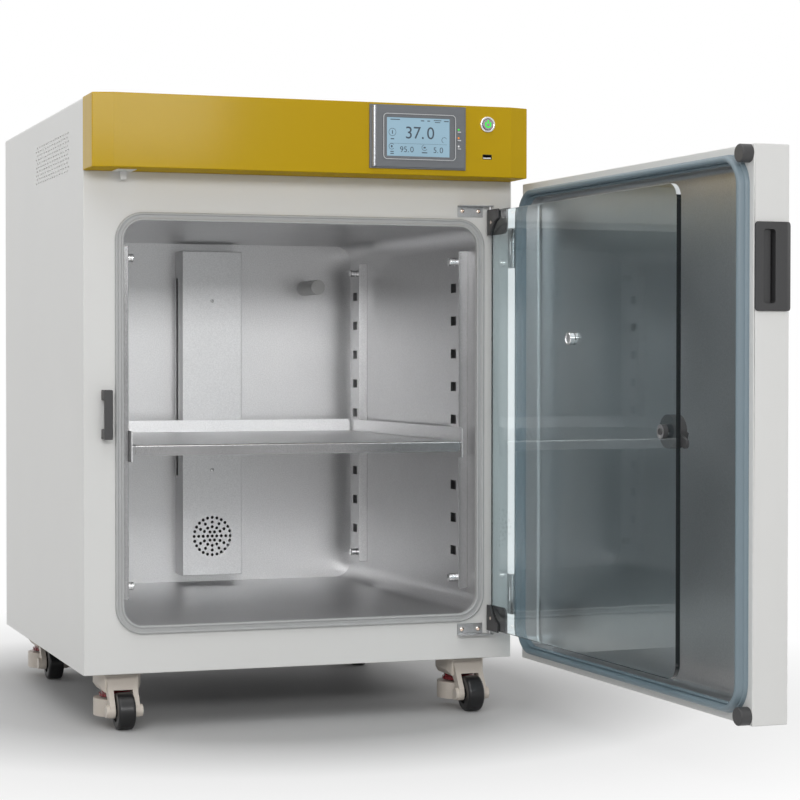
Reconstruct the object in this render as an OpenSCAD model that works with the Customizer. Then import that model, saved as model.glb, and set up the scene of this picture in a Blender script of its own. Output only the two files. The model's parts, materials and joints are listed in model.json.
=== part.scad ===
// Bench laboratory incubator with a gassed, heated chamber on levelling castors.
// Frame: +Z up, X to the right, the doors face -Y. Origin on the floor under the middle of the cabinet.
// Millimetres. Pieces are drawn with the doors swung open as they stand in use.

/* [Cabinet] */
// Width of the cabinet across the side panels
cabinet_w = 620; // [600:1:660]
// Depth of the cabinet from the face to the rear panel
cabinet_d = 600; // [590:1:660]
// Height of the cabinet without castors
cabinet_h = 776; // [770:1:840]
// Thickness of the painted sheet
sheet = 1.5; // [1:0.1:2]
// Columns of vent slots on each side panel
vent_columns = 14; // [6:1:16]
// Rows of vent slots on each side panel
vent_rows = 10; // [4:1:10]
// Length of one vent slot
vent_slot_l = 11; // [8:0.5:13]
// Height of one vent slot
vent_slot_h = 2.4; // [1.5:0.1:3]

/* [Control hood] */
// Height of the coloured control hood
hood_h = 98; // [96:1:110]
// Distance that the hood stands in front of the face
hood_proud = 63.7; // [62:0.1:80]
// Width of the bevelled end facets
hood_bevel_w = 28; // [10:1:40]
// Depth of the bevelled end facets
hood_bevel_d = 8; // [3:0.5:14]
// Thickness of the hood's sheet
hood_t = 1.5; // [1:0.1:2]
// Middle of the display from the cabinet's centre line
display_x = 143; // [120:1:150]
// Width of the display's bezel
display_w = 140.5; // [130:0.5:142]
// Height of the display's bezel
display_h = 87; // [80:1:89]
// Distance that the bezel stands proud of the hood
display_proud = 5; // [3:0.5:8]
// Width of the visible screen
screen_w = 91.6; // [80:0.2:96]
// Height of the visible screen
screen_h = 52.4; // [44:0.2:56]
// Middle of the power button and the data socket from the centre line
button_x = 246.5; // [242:0.5:255]
// Outer diameter of the power button's ring
button_ring_d = 22; // [20:0.5:24]
// Diameter of the power button's cap
button_cap_d = 15; // [12:0.5:16]
// Travel of the power button
button_travel = 2.5; // [1:0.5:4]

/* [Chamber] */
// Clear width of the chamber
chamber_w = 511; // [490:1:515]
// Clear height of the chamber
chamber_h = 547; // [520:1:552]
// Depth of the chamber from the face
chamber_d = 545; // [500:1:548]
// Height of the chamber floor above the cabinet's underside
chamber_z = 65; // [62:1:75]
// Radius of the chamber's long edges
chamber_r = 27; // [15:1:35]
// Thickness of the stainless liner
liner_t = 1.2; // [0.8:0.1:1.5]
// Width of the gasket round the mouth
mouth_gasket_w = 11.5; // [9:0.5:12]
// Height of that gasket above the face
mouth_gasket_t = 6.2; // [4:0.1:6.2]

/* [Air duct] */
// Width of the air duct on the rear wall
duct_w = 98; // [94:1:130]
// Depth of the air duct
duct_depth = 45; // [42:1:60]
// Offset of the duct's middle to the right
duct_x = 5; // [-20:1:20]
// Gap between the duct's ends and the floor and ceiling
duct_gap = 14; // [10:1:25]
// Height of the fan's axis above the chamber floor
fan_z = 76.5; // [70:0.5:110]
// Diameter of the fan's impeller
impeller_d = 76; // [60:1:84]
// Diameter of one intake hole
intake_hole_d = 5; // [3:0.5:5.5]

/* [Shelf] */
// Height of the shelf's top above the chamber floor, in steps of the slots' spacing
shelf_z = 244; // [149.8:47.1:432.4]
// Width of the shelf
shelf_w = 473; // [440:1:475]
// Depth of the shelf
shelf_d = 487; // [440:1:490]
// Thickness of the shelf's sheet
shelf_t = 1.2; // [0.8:0.1:1.5]
// Drop of the shelf's front lip
shelf_front_lip = 15; // [10:1:20]
// Rise of the shelf's rear lip
shelf_rear_lip = 19; // [10:1:24]
// Diameter of one perforation
perforation_d = 6; // [4:0.5:8]
// Spacing of the perforations
perforation_pitch = 22; // [20:1:40]
// Distance of the uprights' webs from the chamber walls
upright_depth = 14; // [12:0.5:16]
// Width of an upright
upright_w = 35; // [32:1:40]
// Spacing of the upright's slots
slot_pitch = 47.1; // [40:0.1:50]
// Number of slots in an upright
slot_count = 9; // [4:1:9]

/* [Outer door] */
// Thickness of the outer door
door_t = 47; // [44:1:52]
// Gap between the outer door and the face
door_gap = 14.7; // [14:0.1:16]
// Gap between the outer door and the hood
door_top_gap = 4.3; // [4:0.1:8]
// Angle that the doors stand open
door_open = 91.8; // [88:0.1:95]
// Distance of the door's hinge axis outside the cabinet
door_pivot_out = 5; // [5:0.5:8]
// Distance of the door's hinge axis in front of the face
door_pivot_front = 7.7; // [7:0.1:8]
// Depth of the pan in the door's inner side
door_pan_depth = 22; // [20:0.5:26]
// Inset of the door gasket from the door's edges
door_gasket_inset = 9.5; // [8:0.5:10]
// Width of the door gasket
door_gasket_w = 12; // [10:0.5:12]
// Outer corner radius of the door gasket
door_gasket_r = 40; // [38:1:42]
// Height of the door handle
handle_h = 103; // [90:1:120]
// Distance from the door's top to the handle's top
handle_drop = 90; // [60:1:200]
// Diameter of a closing buffer
buffer_d = 21.6; // [16:0.2:22]

/* [Glass door] */
// Width of the inner glass door
glass_w = 526; // [520:1:530]
// Height of the inner glass door
glass_h = 592; // [580:1:596]
// Thickness of the glass
glass_t = 6; // [5:0.5:6]
// Distance of the glass hinge axis from the centre line
glass_pivot_x = 274.3; // [272:0.1:276]
// Gap between the glass edge and its hinge axis
glass_pivot_gap = 8.3; // [7:0.1:10]
// Angle that the latch nose is parked off its locked position
latch_park = 22; // [22:1:60]
// Diameter of the latch knob
knob_d = 41; // [30:0.5:44]
// Height of the latch keeper
keeper_h = 66.5; // [60:0.5:80]

/* [Castors] */
// Height of the levelling castors
castor_h = 76; // [76:1:90]
// Diameter of a castor wheel
wheel_d = 50; // [44:1:50]
// Width of a castor wheel
wheel_w = 24; // [18:1:26]
// Distance of the wheel's axle in front of the swivel axis
castor_trail = 45; // [45:1:48]
// Inset of the swivel axes from the cabinet's sides
castor_inset_x = 57; // [45:1:90]
// Inset of the swivel axes from the face and the rear
castor_inset_y = 55; // [45:1:110]
// Angle that the wheels are turned
castor_heading = 0; // [-30:1:30]
// Diameter of a levelling pad
pad_d = 64; // [56:1:66]
// Clearance of a raised levelling pad above the floor
pad_lift = 14; // [12:0.5:18]

/* [Hidden] */
$fn = 48;

white = [0.9, 0.9, 0.89];
hood_yellow = [0.75, 0.6, 0.07];
steel = [0.72, 0.73, 0.74];
chrome = [0.85, 0.85, 0.86];
black = [0.12, 0.12, 0.12];
seal_grey = [0.66, 0.67, 0.68];
seal_blue = [0.4, 0.48, 0.53];
ivory = [0.8, 0.77, 0.73];
glass_tint = [0.6, 0.68, 0.7, 0.35];

// General clearances
run_gap = 0.4;
seat_gap = 0.3;
eps = 0.05;

half_w = cabinet_w / 2;
face_h = cabinet_h - hood_h;
chamber_mid_z = chamber_z + chamber_h / 2;
mat_t = 1;
mat_space = 1.6;
hollow_grow = 2 * (liner_t + mat_space);

fan_axis_z = chamber_z + fan_z;
duct_y = chamber_d - duct_depth;
duct_z = chamber_z + duct_gap;
duct_h = chamber_h - 2 * duct_gap;
motor_d = 64;
motor_l = 40;
shaft_d = 8;
sensor_d = 23.8;
sensor_l = 75;
sensor_x = 174;
sensor_drop = 70;
sensor_shank_d = 14;

upright_x = chamber_w / 2 - upright_depth;
upright_y = [29, chamber_d - 83];
upright_end_gap = 32.5;
upright_z = chamber_z + upright_end_gap;
upright_h = chamber_h - 2 * upright_end_gap;
upright_t = 1.2;
slot_h = 13.3;
slot_w = 20;
slot_start = 78.9;
first_slot_z = chamber_z + slot_start;
slot_y = 10.5;
nut_inset_z = 15.3;
nut_y = 7;
nut_d = 11.5;
nut_l = 13;
nut_stud_d = 6;
shelf_y = 9.5;
shelf_over_slot = 23.8;
hook_slot = round((shelf_z - slot_start - shelf_over_slot) / slot_pitch);
shelf_top = first_slot_z + hook_slot * slot_pitch + shelf_over_slot;

door_w = cabinet_w;
door_h = face_h - door_top_gap;
door_in_y = -door_gap;
door_out_y = -door_gap - door_t;
door_pivot = [half_w + door_pivot_out, -door_pivot_front];
door_pan_inset = door_gasket_inset + door_gasket_w - 0.5;
door_pan_w = door_w - 2 * door_pan_inset;
door_pan_h = door_h - 2 * door_pan_inset;
door_gasket_t = door_gap - 0.6;
hinge_h = 57;
hinge_z = [62, door_h - 62 - hinge_h];
hinge_r = 4.6;
hinge_pin_d = 5;

glass_in_y = -mouth_gasket_t - seat_gap;
glass_out_y = glass_in_y - glass_t;
glass_pivot = [glass_pivot_x, glass_in_y - 1.4];
glass_right = glass_pivot_x - glass_pivot_gap;
glass_z = chamber_mid_z - glass_h / 2;
glass_top = glass_z + glass_h;
latch_inset = 26;
latch_x = glass_right - glass_w + latch_inset;
latch_z = chamber_mid_z;
nose_l = 36;
nose_r = 6;
nose_t = 3.5;
keeper_w = 11.5;
keeper_right = latch_x - nose_l - nose_r + 1.6;
keeper_z = latch_z + 12.3 - keeper_h / 2;
keeper_leg = 14;
keeper_clear = -glass_out_y + nose_t + 2 * 0.5;
keeper_bar_t = 5;
port_x = glass_right - glass_w / 2 + 11;
port_z = chamber_mid_z + 113.5;
port_d = 12;

clamp_drop = 34;
clamp_z = glass_top - clamp_drop;
clamp_h = 36;
clamp_t = 3;
clamp_in_t = 2.4;
bracket_x = glass_pivot_x - 46.6;
bracket_w = 38;
bracket_t = 1.5;
bracket_h = 16.3;
arm_r = 6;
arm_z = glass_top + 8.3;
pin_d = 5;
pin_l = 22;

switch_x = -half_w + 52;
switch_y = -12.4;
switch_z = face_h + 4;
lever_l = 16.5;
lever_w = 8;
lever_t = 1.8;

castor_x = half_w - castor_inset_x;
castor_y = cabinet_d / 2 - castor_inset_y;
castor_plate_t = 4;
castor_plate_w = 62;
head_h = 23;
head_w = 58;
head_top = castor_h - castor_plate_t - seat_gap;
head_bottom = head_top - head_h;
pad_h = 24;
adjuster_d = 48.6;
kingpin_d = 16;
stem_d = 10;
stem_top = castor_h - 2;
fork_leg_t = 7.5;
fork_inner = wheel_w / 2 + 1.2;
arch_gap = 2.5;
axle_d = 8;
axle_z = wheel_d / 2;

// Placing helpers

// From the cabinet's own corner frame (face at y = 0, underside at z = 0) to the part's frame
module in_cabinet() {
    translate([0, -cabinet_d / 2, castor_h]) children();
}

// Swings a closed door piece to its open place
module swung(pivot) {
    translate([pivot[0], pivot[1], 0]) rotate([0, 0, door_open]) translate([-pivot[0], -pivot[1], 0])
        children();
}

// Extrudes an outline drawn in X and Z along +Y
module along_y(y0, len) {
    translate([0, y0 + len, 0]) rotate([90, 0, 0]) linear_extrude(len) children();
}

// Extrudes an outline drawn in Y and Z along +X
module along_x(x0, len) {
    translate([x0, 0, 0]) rotate([90, 0, 90]) linear_extrude(len) children();
}

// Rectangle with round corners, centred
module round_rect(w, h, r) {
    square([w - 2 * r, h], center = true);
    square([w, h - 2 * r], center = true);
    for (sx = [-1, 1], sy = [-1, 1])
        translate([sx * (w / 2 - r), sy * (h / 2 - r)]) circle(r);
}

// Ring between two round rectangles, with a band of the given width
module round_ring(w, h, r, band) {
    difference() {
        round_rect(w, h, r);
        round_rect(w - 2 * band, h - 2 * band, max(r - band, 1));
    }
}

// Box from its lowest corner to its highest corner
module box(a, b) {
    translate(a) cube(b - a);
}

// Cylinder along Y from y0 over a length
module rod_y(x, y0, z, len, d) {
    translate([x, y0, z]) rotate([-90, 0, 0]) cylinder(h = len, d = d);
}

// Cylinder along X from x0 over a length
module rod_x(x0, y, z, len, d) {
    translate([x0, y, z]) rotate([0, 90, 0]) cylinder(h = len, d = d);
}

// Mirrors a piece to both sides of the cabinet
module both_sides() {
    children();
    mirror([1, 0, 0]) children();
}

// Cabinet shell

vent_y = 93;
vent_top = cabinet_h - 40;
vent_pitch_y = 17.4;
vent_pitch_z = 5.8;

module vent_slots() {
    for (row = [0 : vent_rows - 1], col = [0 : vent_columns - 1])
        translate([vent_y + (col + 0.5 * (row % 2)) * vent_pitch_y, vent_top - row * vent_pitch_z])
            square([vent_slot_l, vent_slot_h]);
}

fold_r = 4;

// Front outline of the cabinet with its upper edges folded round, set in from the outside
module wrap_outline(inset) {
    r = fold_r - inset;
    w = half_w - inset;
    top = cabinet_h - inset;
    translate([-w, 0]) square([2 * w, top - r]);
    translate([r - w, 0]) square([2 * (w - r), top]);
    for (s = [-1, 1]) translate([s * (w - r), top - r]) circle(r);
}

module cabinet_wrap() {
    color(white) in_cabinet() difference() {
        along_y(sheet, cabinet_d - sheet) difference() {
            wrap_outline(0);
            wrap_outline(sheet);
            translate([sheet - half_w, -1]) square([cabinet_w - 2 * sheet, 2]);
        }
        both_sides() along_x(half_w - sheet - 1, sheet + 2) vent_slots();
    }
}

module front_frame() {
    color(white) in_cabinet() {
        along_y(0, sheet) difference() {
            translate([-half_w, 0]) square([cabinet_w, face_h]);
            translate([0, chamber_mid_z]) round_rect(chamber_w, chamber_h, chamber_r);
        }
        box([-half_w + sheet, sheet, face_h - sheet], [half_w - sheet, cabinet_d - sheet, face_h]);
    }
}

module base_pan() {
    color(white) in_cabinet()
        box([-half_w + sheet, sheet, 0], [half_w - sheet, cabinet_d, sheet]);
}

inlet_x = -half_w + 120;
inlet_z = face_h + 40;
inlet_w = 27.6;
inlet_h = 20;
gas_x = half_w - 160;
gas_z = face_h + 46;
gas_thread_d = 10;
rear_vent_count = 12;
rear_vent_l = 40;
rear_vent_w = 3;
rear_vent_pitch = 8;
rear_vent_x = -20;
rear_vent_z = face_h + 24;
panel_seam = 0.4;

// Upper rear sheets, which leave a bay for the mains plate between them
module service_sheets() {
    difference() {
        intersection() {
            wrap_outline(sheet);
            translate([-half_w, face_h]) square([cabinet_w, hood_h]);
        }
        translate([inlet_x - inlet_w / 2, face_h - 1]) square([inlet_w, hood_h + 2]);
        translate([gas_x, gas_z]) circle(d = gas_thread_d + run_gap);
        for (i = [0 : rear_vent_count - 1])
            translate([rear_vent_x + (i - (rear_vent_count - 1) / 2) * rear_vent_pitch, rear_vent_z])
                square([rear_vent_w, rear_vent_l]);
    }
}

module rear_panel() {
    color(white) in_cabinet() along_y(cabinet_d - sheet, sheet) {
        translate([sheet - half_w, sheet])
            square([cabinet_w - 2 * sheet, face_h - sheet - panel_seam]);
        service_sheets();
    }
}

module chamber_liner() {
    color(steel) in_cabinet() difference() {
        union() {
            along_y(sheet, chamber_d - sheet) translate([0, chamber_mid_z])
                round_ring(chamber_w + 2 * liner_t, chamber_h + 2 * liner_t, chamber_r + liner_t, liner_t);
            along_y(chamber_d, liner_t) translate([0, chamber_mid_z])
                round_rect(chamber_w + 2 * liner_t, chamber_h + 2 * liner_t, chamber_r + liner_t);
        }
        rod_y(duct_x, chamber_d - 1, fan_axis_z, liner_t + 2, shaft_d + 4);
        rod_y(sensor_x, chamber_d - 1, chamber_z + chamber_h - sensor_drop, liner_t + 2,
            sensor_shank_d + run_gap);
    }
}

module insulation() {
    color([0.95, 0.9, 0.7]) in_cabinet() difference() {
        box([-half_w + sheet, sheet, sheet], [half_w - sheet, cabinet_d - sheet, face_h - sheet]);
        along_y(sheet - 1, chamber_d + liner_t + seat_gap - sheet + 1) translate([0, chamber_mid_z])
            round_rect(chamber_w + hollow_grow, chamber_h + hollow_grow, chamber_r + hollow_grow / 2);
        rod_y(duct_x, chamber_d, fan_axis_z, motor_l + 8, motor_d + 2);
        rod_y(sensor_x, chamber_d, chamber_z + chamber_h - sensor_drop, 36, sensor_shank_d + 2);
    }
}

mat_d = chamber_d - 145;
mat_w = chamber_w - 131;
mat_h = chamber_h - 167;

module heating_mats() {
    color([0.75, 0.3, 0.2]) in_cabinet() {
        both_sides()
            translate([chamber_w / 2 + liner_t, (chamber_d - mat_d) / 2, chamber_mid_z - mat_h / 2])
                cube([mat_t, mat_d, mat_h]);
        translate([-mat_w / 2, (chamber_d - mat_d) / 2, chamber_z - liner_t - mat_t])
            cube([mat_w, mat_d, mat_t]);
    }
}

gasket_rib = 3.2;
gasket_base_t = 4.2;

module chamber_gasket() {
    grow = 2 * mouth_gasket_w;
    color(seal_grey) in_cabinet() translate([0, 0, chamber_mid_z]) {
        along_y(-gasket_base_t, gasket_base_t)
            round_ring(chamber_w + grow, chamber_h + grow, chamber_r + mouth_gasket_w, mouth_gasket_w);
        along_y(-mouth_gasket_t, mouth_gasket_t - gasket_base_t)
            round_ring(chamber_w + grow, chamber_h + grow, chamber_r + mouth_gasket_w, gasket_rib);
        along_y(-mouth_gasket_t, mouth_gasket_t - gasket_base_t)
            round_ring(chamber_w + 2 * gasket_rib, chamber_h + 2 * gasket_rib, chamber_r + gasket_rib,
                gasket_rib);
    }
}

// Control hood and its fittings

module hood_plan(inset, back) {
    front = hood_proud - inset;
    side = half_w - inset;
    polygon([[-side, back], [-side, -front + hood_bevel_d], [-side + hood_bevel_w, -front],
        [side - hood_bevel_w, -front], [side, -front + hood_bevel_d], [side, back]]);
}

display_z = face_h + 51.5;
display_box_w = display_w - 14;
display_box_h = display_h - 13;
display_box_d = 28;
button_z = face_h + 72.6;
button_hole_d = 19;
usb_z = face_h + 27.8;
usb_w = 13.8;
usb_h = 6.8;
switch_port_w = 18;
switch_port_y = [-19, -2];

module control_hood() {
    color(hood_yellow) in_cabinet() difference() {
        translate([0, 0, face_h]) linear_extrude(hood_h) hood_plan(0, sheet);
        translate([0, 0, face_h + hood_t]) linear_extrude(hood_h - 2 * hood_t)
            hood_plan(hood_t, sheet + 1);
        translate([display_x, 0, display_z]) along_y(-hood_proud - 1, 6)
            square([display_box_w + 2 * run_gap, display_box_h + 2 * run_gap], center = true);
        rod_y(button_x, -hood_proud - 1, button_z, 5, button_hole_d);
        box([button_x - usb_w / 2, -hood_proud - 1, usb_z - usb_h / 2],
            [button_x + usb_w / 2, -hood_proud + 5, usb_z + usb_h / 2]);
        box([switch_x - switch_port_w / 2, switch_port_y[0], face_h - 1],
            [switch_x + switch_port_w / 2, switch_port_y[1], face_h + hood_t + 1]);
    }
}

bezel_step = 2.2;
ridge_d = 6;
screen_t = 1.8;
screen_sink = 0.8;

module display_bezel() {
    front = -hood_proud - display_proud;
    color([0.45, 0.46, 0.48]) in_cabinet() translate([display_x, 0, display_z]) difference() {
        union() {
            along_y(-hood_proud - display_proud + 2, display_proud - 2)
                square([display_w, display_h], center = true);
            along_y(front, 2)
                square([display_w - 2 * bezel_step, display_h - 2 * bezel_step], center = true);
            along_y(-hood_proud, display_box_d) square([display_box_w, display_box_h], center = true);
            translate([-display_w / 2 + 6, front, -display_h / 2 + bezel_step])
                cylinder(h = display_h - 2 * bezel_step, d = ridge_d);
        }
        along_y(front - 1, screen_sink + screen_t + 1)
            square([screen_w + run_gap, screen_h + run_gap], center = true);
    }
}

module display_screen() {
    color([0.62, 0.76, 0.84]) in_cabinet() translate([display_x, 0, display_z])
        along_y(-hood_proud - display_proud + screen_sink, screen_t)
            square([screen_w, screen_h], center = true);
}

lamp_d = 2.6;
lamp_pitch = 11.5;

module indicator_lamps() {
    color("lime") in_cabinet() for (i = [-1 : 1])
        rod_y(display_x + display_w / 2 - 11.5, -hood_proud - display_proud - 0.8,
            display_z + 0.5 + i * lamp_pitch, 0.8, lamp_d);
}

button_flange = 3;
button_body_l = 24;
button_bore_l = 16;
cap_l = 10;
cap_proud = 0.6;

module power_button_ring() {
    front = -hood_proud - button_flange;
    color(chrome) in_cabinet() difference() {
        union() {
            rod_y(button_x, front, button_z, button_flange, button_ring_d);
            rod_y(button_x, -hood_proud, button_z, button_body_l, button_hole_d - run_gap);
            translate([button_x, -hood_proud + hood_t, button_z]) rotate([-90, 0, 0])
                cylinder(h = 4, d = 25, $fn = 6);
        }
        rod_y(button_x, front - 1, button_z, button_bore_l + 1, button_cap_d + 2 * seat_gap);
    }
}

module power_button_cap() {
    color([0.75, 0.76, 0.76]) in_cabinet()
        rod_y(button_x, -hood_proud - button_flange - cap_proud, button_z, cap_l, button_cap_d);
}

usb_wall = 0.5;
usb_d = 14;
usb_tongue = 1.9;

module usb_socket() {
    w = usb_w - run_gap;
    h = usb_h - run_gap;
    color(steel) in_cabinet() translate([button_x, 0, usb_z]) {
        along_y(-hood_proud, usb_d) difference() {
            square([w, h], center = true);
            square([w - 2 * usb_wall, h - 2 * usb_wall], center = true);
        }
        along_y(-hood_proud + usb_d, 2) square([w, h], center = true);
        along_y(-hood_proud + 1, usb_d - 1) translate([0, -h / 4])
            square([w - 2 * usb_wall - 1, usb_tongue], center = true);
    }
}

// Door switch: a flag that the closing door folds up into the hood

trim_t = 1;
trim_w = 26;
trim_y = [-36, -1];
ear_t = 2.4;
lever_slot = lever_w + 2;
lever_barrel_d = 5;
switch_pin_d = 2;

module door_switch_bracket() {
    port = switch_port_w - run_gap;
    color([0.75, 0.75, 0.75]) in_cabinet() {
        difference() {
            union() {
                box([switch_x - trim_w / 2, trim_y[0], face_h - trim_t],
                    [switch_x + trim_w / 2, trim_y[1], face_h]);
                box([switch_x - port / 2, switch_port_y[0] + 0.2, face_h - trim_t],
                    [switch_x + port / 2, switch_port_y[1] - 0.2, face_h + hood_t]);
                for (s = [-1, 1])
                    translate([switch_x + s * (lever_slot + ear_t) / 2 - ear_t / 2, switch_y - 4, face_h])
                        cube([ear_t, 8, switch_z - face_h + 4]);
            }
            box([switch_x - lever_slot / 2, switch_port_y[0] + 2, face_h - trim_t - 1],
                [switch_x + lever_slot / 2, switch_port_y[1] - 1, switch_z + 10]);
        }
        rod_x(switch_x - lever_slot / 2 - ear_t, switch_y, switch_z, lever_slot + 2 * ear_t, switch_pin_d);
    }
}

module door_switch_lever() {
    x0 = switch_x - lever_w / 2;
    color([0.8, 0.8, 0.8]) in_cabinet() difference() {
        union() {
            rod_x(x0, switch_y, switch_z, lever_w, lever_barrel_d);
            translate([x0, switch_y - lever_t / 2, switch_z - lever_l]) cube([lever_w, lever_t, lever_l]);
        }
        rod_x(x0 - 1, switch_y, switch_z, lever_w + 2, switch_pin_d + 2 * seat_gap);
    }
}

// Electronics bay behind the hood

board_w = 170;
board_d = 110;
board_t = 1.6;
board_at = [20, 130];
standoff_h = 8;
standoff_d = 6;
standoff_inset = 6;
relay_size = [24, 18, 12];
relay_pitch = 38;
smoother_h = 20;
smoother_d = 14;
smoother_pitch = 45;

module control_board() {
    board_top = standoff_h + board_t;
    color([0.1, 0.4, 0.2]) in_cabinet() translate([board_at[0], board_at[1], face_h]) {
        for (sx = [-1, 1], sy = [-1, 1])
            translate([sx * (board_w / 2 - standoff_inset), sy * (board_d / 2 - standoff_inset), 0])
                cylinder(h = standoff_h, d = standoff_d);
        translate([-board_w / 2, -board_d / 2, standoff_h]) cube([board_w, board_d, board_t]);
        for (i = [0 : 3])
            translate([-board_w / 2 + 15 + i * relay_pitch, -board_d / 2 + 15, board_top])
                cube(relay_size);
        for (i = [0 : 2])
            translate([-board_w / 2 + 35 + i * smoother_pitch, board_d / 2 - 30, board_top])
                cylinder(h = smoother_h, d = smoother_d);
    }
}

supply_size = [160, 98, 42];
supply_x = -half_w + 60;
supply_y = cabinet_d - 270;
supply_slots = 10;
supply_slot_w = 5;
supply_slot_pitch = 14;
supply_slot_inset = [15, 12];

module power_supply() {
    color(steel) in_cabinet() translate([supply_x, supply_y, face_h]) difference() {
        cube(supply_size);
        for (i = [0 : supply_slots - 1])
            translate([supply_slot_inset[0] + i * supply_slot_pitch, supply_slot_inset[1],
                supply_size[2] - 2])
                cube([supply_slot_w, supply_size[1] - 2 * supply_slot_inset[1], 4]);
    }
}

valve_size = [32, 44, 34];
barb_l = 24;

module gas_valve() {
    color([0.75, 0.6, 0.3]) in_cabinet() {
        translate([gas_x - valve_size[0] / 2, cabinet_d - sheet - 14 - valve_size[1], face_h])
            cube([valve_size[0], valve_size[1], gas_z - face_h + 8]);
        translate([gas_x, cabinet_d - sheet - 14 - valve_size[1] / 2, gas_z + 8])
            cylinder(h = 20, d = 26);
        rod_y(gas_x, cabinet_d - sheet - 14, gas_z, 14 + sheet + 3, gas_thread_d);
        translate([gas_x, cabinet_d + 3, gas_z]) rotate([-90, 0, 0])
            rotate_extrude() polygon([[0, 0], [5, 0], [5, 3], [3.5, 3], [4.2, 8], [3.3, 8], [4.2, 13],
                [3.3, 13], [4.2, 18], [3.3, 18], [3.8, barb_l], [0, barb_l]]);
    }
}

module gas_sensor() {
    z = chamber_z + chamber_h - sensor_drop;
    color([0.8, 0.8, 0.78]) in_cabinet() {
        rod_y(sensor_x, chamber_d - sensor_l, z, sensor_l, sensor_d);
        rod_y(sensor_x, chamber_d, z, 30, sensor_shank_d);
    }
}

inlet_plate_t = 3;
inlet_plate_w = 50;
inlet_plate_gap = 3;
inlet_depth = 26;
inlet_floor = 6;
fuse_z = face_h + 76;
fuse_d = 15;
fuse_proud = 6;

// Mains plate over the bay in the rear sheets, with the socket and a fuse cap above it
module power_inlet() {
    plate_h = hood_h - 2 * inlet_plate_gap;
    color(black) in_cabinet() translate([inlet_x, 0, 0]) difference() {
        union() {
            along_y(cabinet_d, inlet_plate_t) translate([0, face_h + hood_h / 2])
                square([inlet_plate_w, plate_h], center = true);
            along_y(cabinet_d - inlet_depth, inlet_depth) translate([0, inlet_z])
                square([inlet_w - run_gap, inlet_h - run_gap], center = true);
            rod_y(0, cabinet_d + inlet_plate_t, fuse_z, fuse_proud, fuse_d);
        }
        along_y(cabinet_d - inlet_depth + inlet_floor, inlet_depth) translate([0, inlet_z])
            polygon([[-11, -7], [11, -7], [11, 3], [7, 7], [-7, 7], [-11, 3]]);
    }
}

// Air circulation on the chamber's rear wall

duct_t = 1;
intake_rings = [[1, 0], [6, 7.5], [12, 15], [12, 22.5], [24, 30]];
outlet_z = [chamber_z + 173, chamber_z + chamber_h - 56];
outlet_w = 12;

module duct_cover() {
    x0 = duct_x - duct_w / 2;
    color(steel) in_cabinet() difference() {
        box([x0, duct_y, duct_z], [x0 + duct_w, chamber_d, duct_z + duct_h]);
        box([x0 + duct_t, duct_y + duct_t, duct_z + duct_t],
            [x0 + duct_w - duct_t, chamber_d + 1, duct_z + duct_h - duct_t]);
        for (ring = intake_rings, i = [0 : ring[0] - 1])
            rod_y(duct_x + ring[1] * cos(360 * i / ring[0]), duct_y - 1,
                fan_axis_z + ring[1] * sin(360 * i / ring[0]), duct_t + 2, intake_hole_d);
        for (s = [-1, 1])
            translate([duct_x + s * duct_w / 2, chamber_d - 4 - outlet_w, outlet_z[0]])
                translate([-3, 0, 0]) cube([6, outlet_w, outlet_z[1] - outlet_z[0]]);
    }
}

module fan_motor() {
    y0 = chamber_d + liner_t;
    color([0.5, 0.5, 0.52]) in_cabinet() difference() {
        union() {
            rod_y(duct_x, y0, fan_axis_z, 6, motor_d);
            rod_y(duct_x, y0 + 6, fan_axis_z, motor_l - 6, motor_d - 8);
        }
        rod_y(duct_x, y0 - 1, fan_axis_z, 27, shaft_d + 2 * run_gap);
    }
}

impeller_h = 22;
impeller_y = duct_y + duct_t + 8;
blade_count = 12;
blade_l = 20;

module fan_impeller() {
    back = impeller_y + impeller_h;
    color([0.2, 0.2, 0.22]) in_cabinet() {
        rod_y(duct_x, back - 2, fan_axis_z, 2, impeller_d);
        rod_y(duct_x, impeller_y, fan_axis_z, impeller_h, 24);
        rod_y(duct_x, back, fan_axis_z, chamber_d + liner_t + 22 - back, shaft_d);
        for (i = [0 : blade_count - 1])
            translate([duct_x, impeller_y, fan_axis_z]) rotate([0, 360 * i / blade_count, 0])
                translate([impeller_d / 2 - 1 - blade_l, 0, 0]) rotate([0, 25, 0])
                    translate([0, 0, -0.8]) cube([blade_l - 2, impeller_h - 1, 1.6]);
    }
}

// Shelf furniture

module upright_profile() {
    difference() {
        translate([upright_x, 0]) square([upright_depth, upright_w]);
        translate([upright_x + upright_t, upright_t])
            square([upright_depth, upright_w - 2 * upright_t]);
    }
}

module upright() {
    difference() {
        translate([0, 0, upright_z]) linear_extrude(upright_h) upright_profile();
        for (i = [0 : slot_count - 1])
            translate([upright_x - 1, slot_y, first_slot_z + i * slot_pitch])
                cube([upright_t + 2, slot_w, slot_h]);
        for (z = [upright_z + nut_inset_z, upright_z + upright_h - nut_inset_z])
            rod_x(upright_x - 1, nut_y, z, upright_t + 2, nut_stud_d + 1);
    }
}

// An upright's pieces at both sides: the left ones are the same part turned half round
module upright_places() {
    for (y0 = upright_y) {
        translate([0, y0, 0]) children();
        translate([0, y0 + upright_w, 0]) rotate([0, 0, 180]) children();
    }
}

module shelf_uprights() {
    color(steel) in_cabinet() upright_places() upright();
}

module upright_thumb_nuts() {
    color(chrome) in_cabinet() upright_places()
        for (z = [upright_z + nut_inset_z, upright_z + upright_h - nut_inset_z]) {
            rod_x(upright_x - nut_l, nut_y, z, nut_l, nut_d);
            rod_x(upright_x, nut_y, z, upright_depth, nut_stud_d);
        }
}

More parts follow.
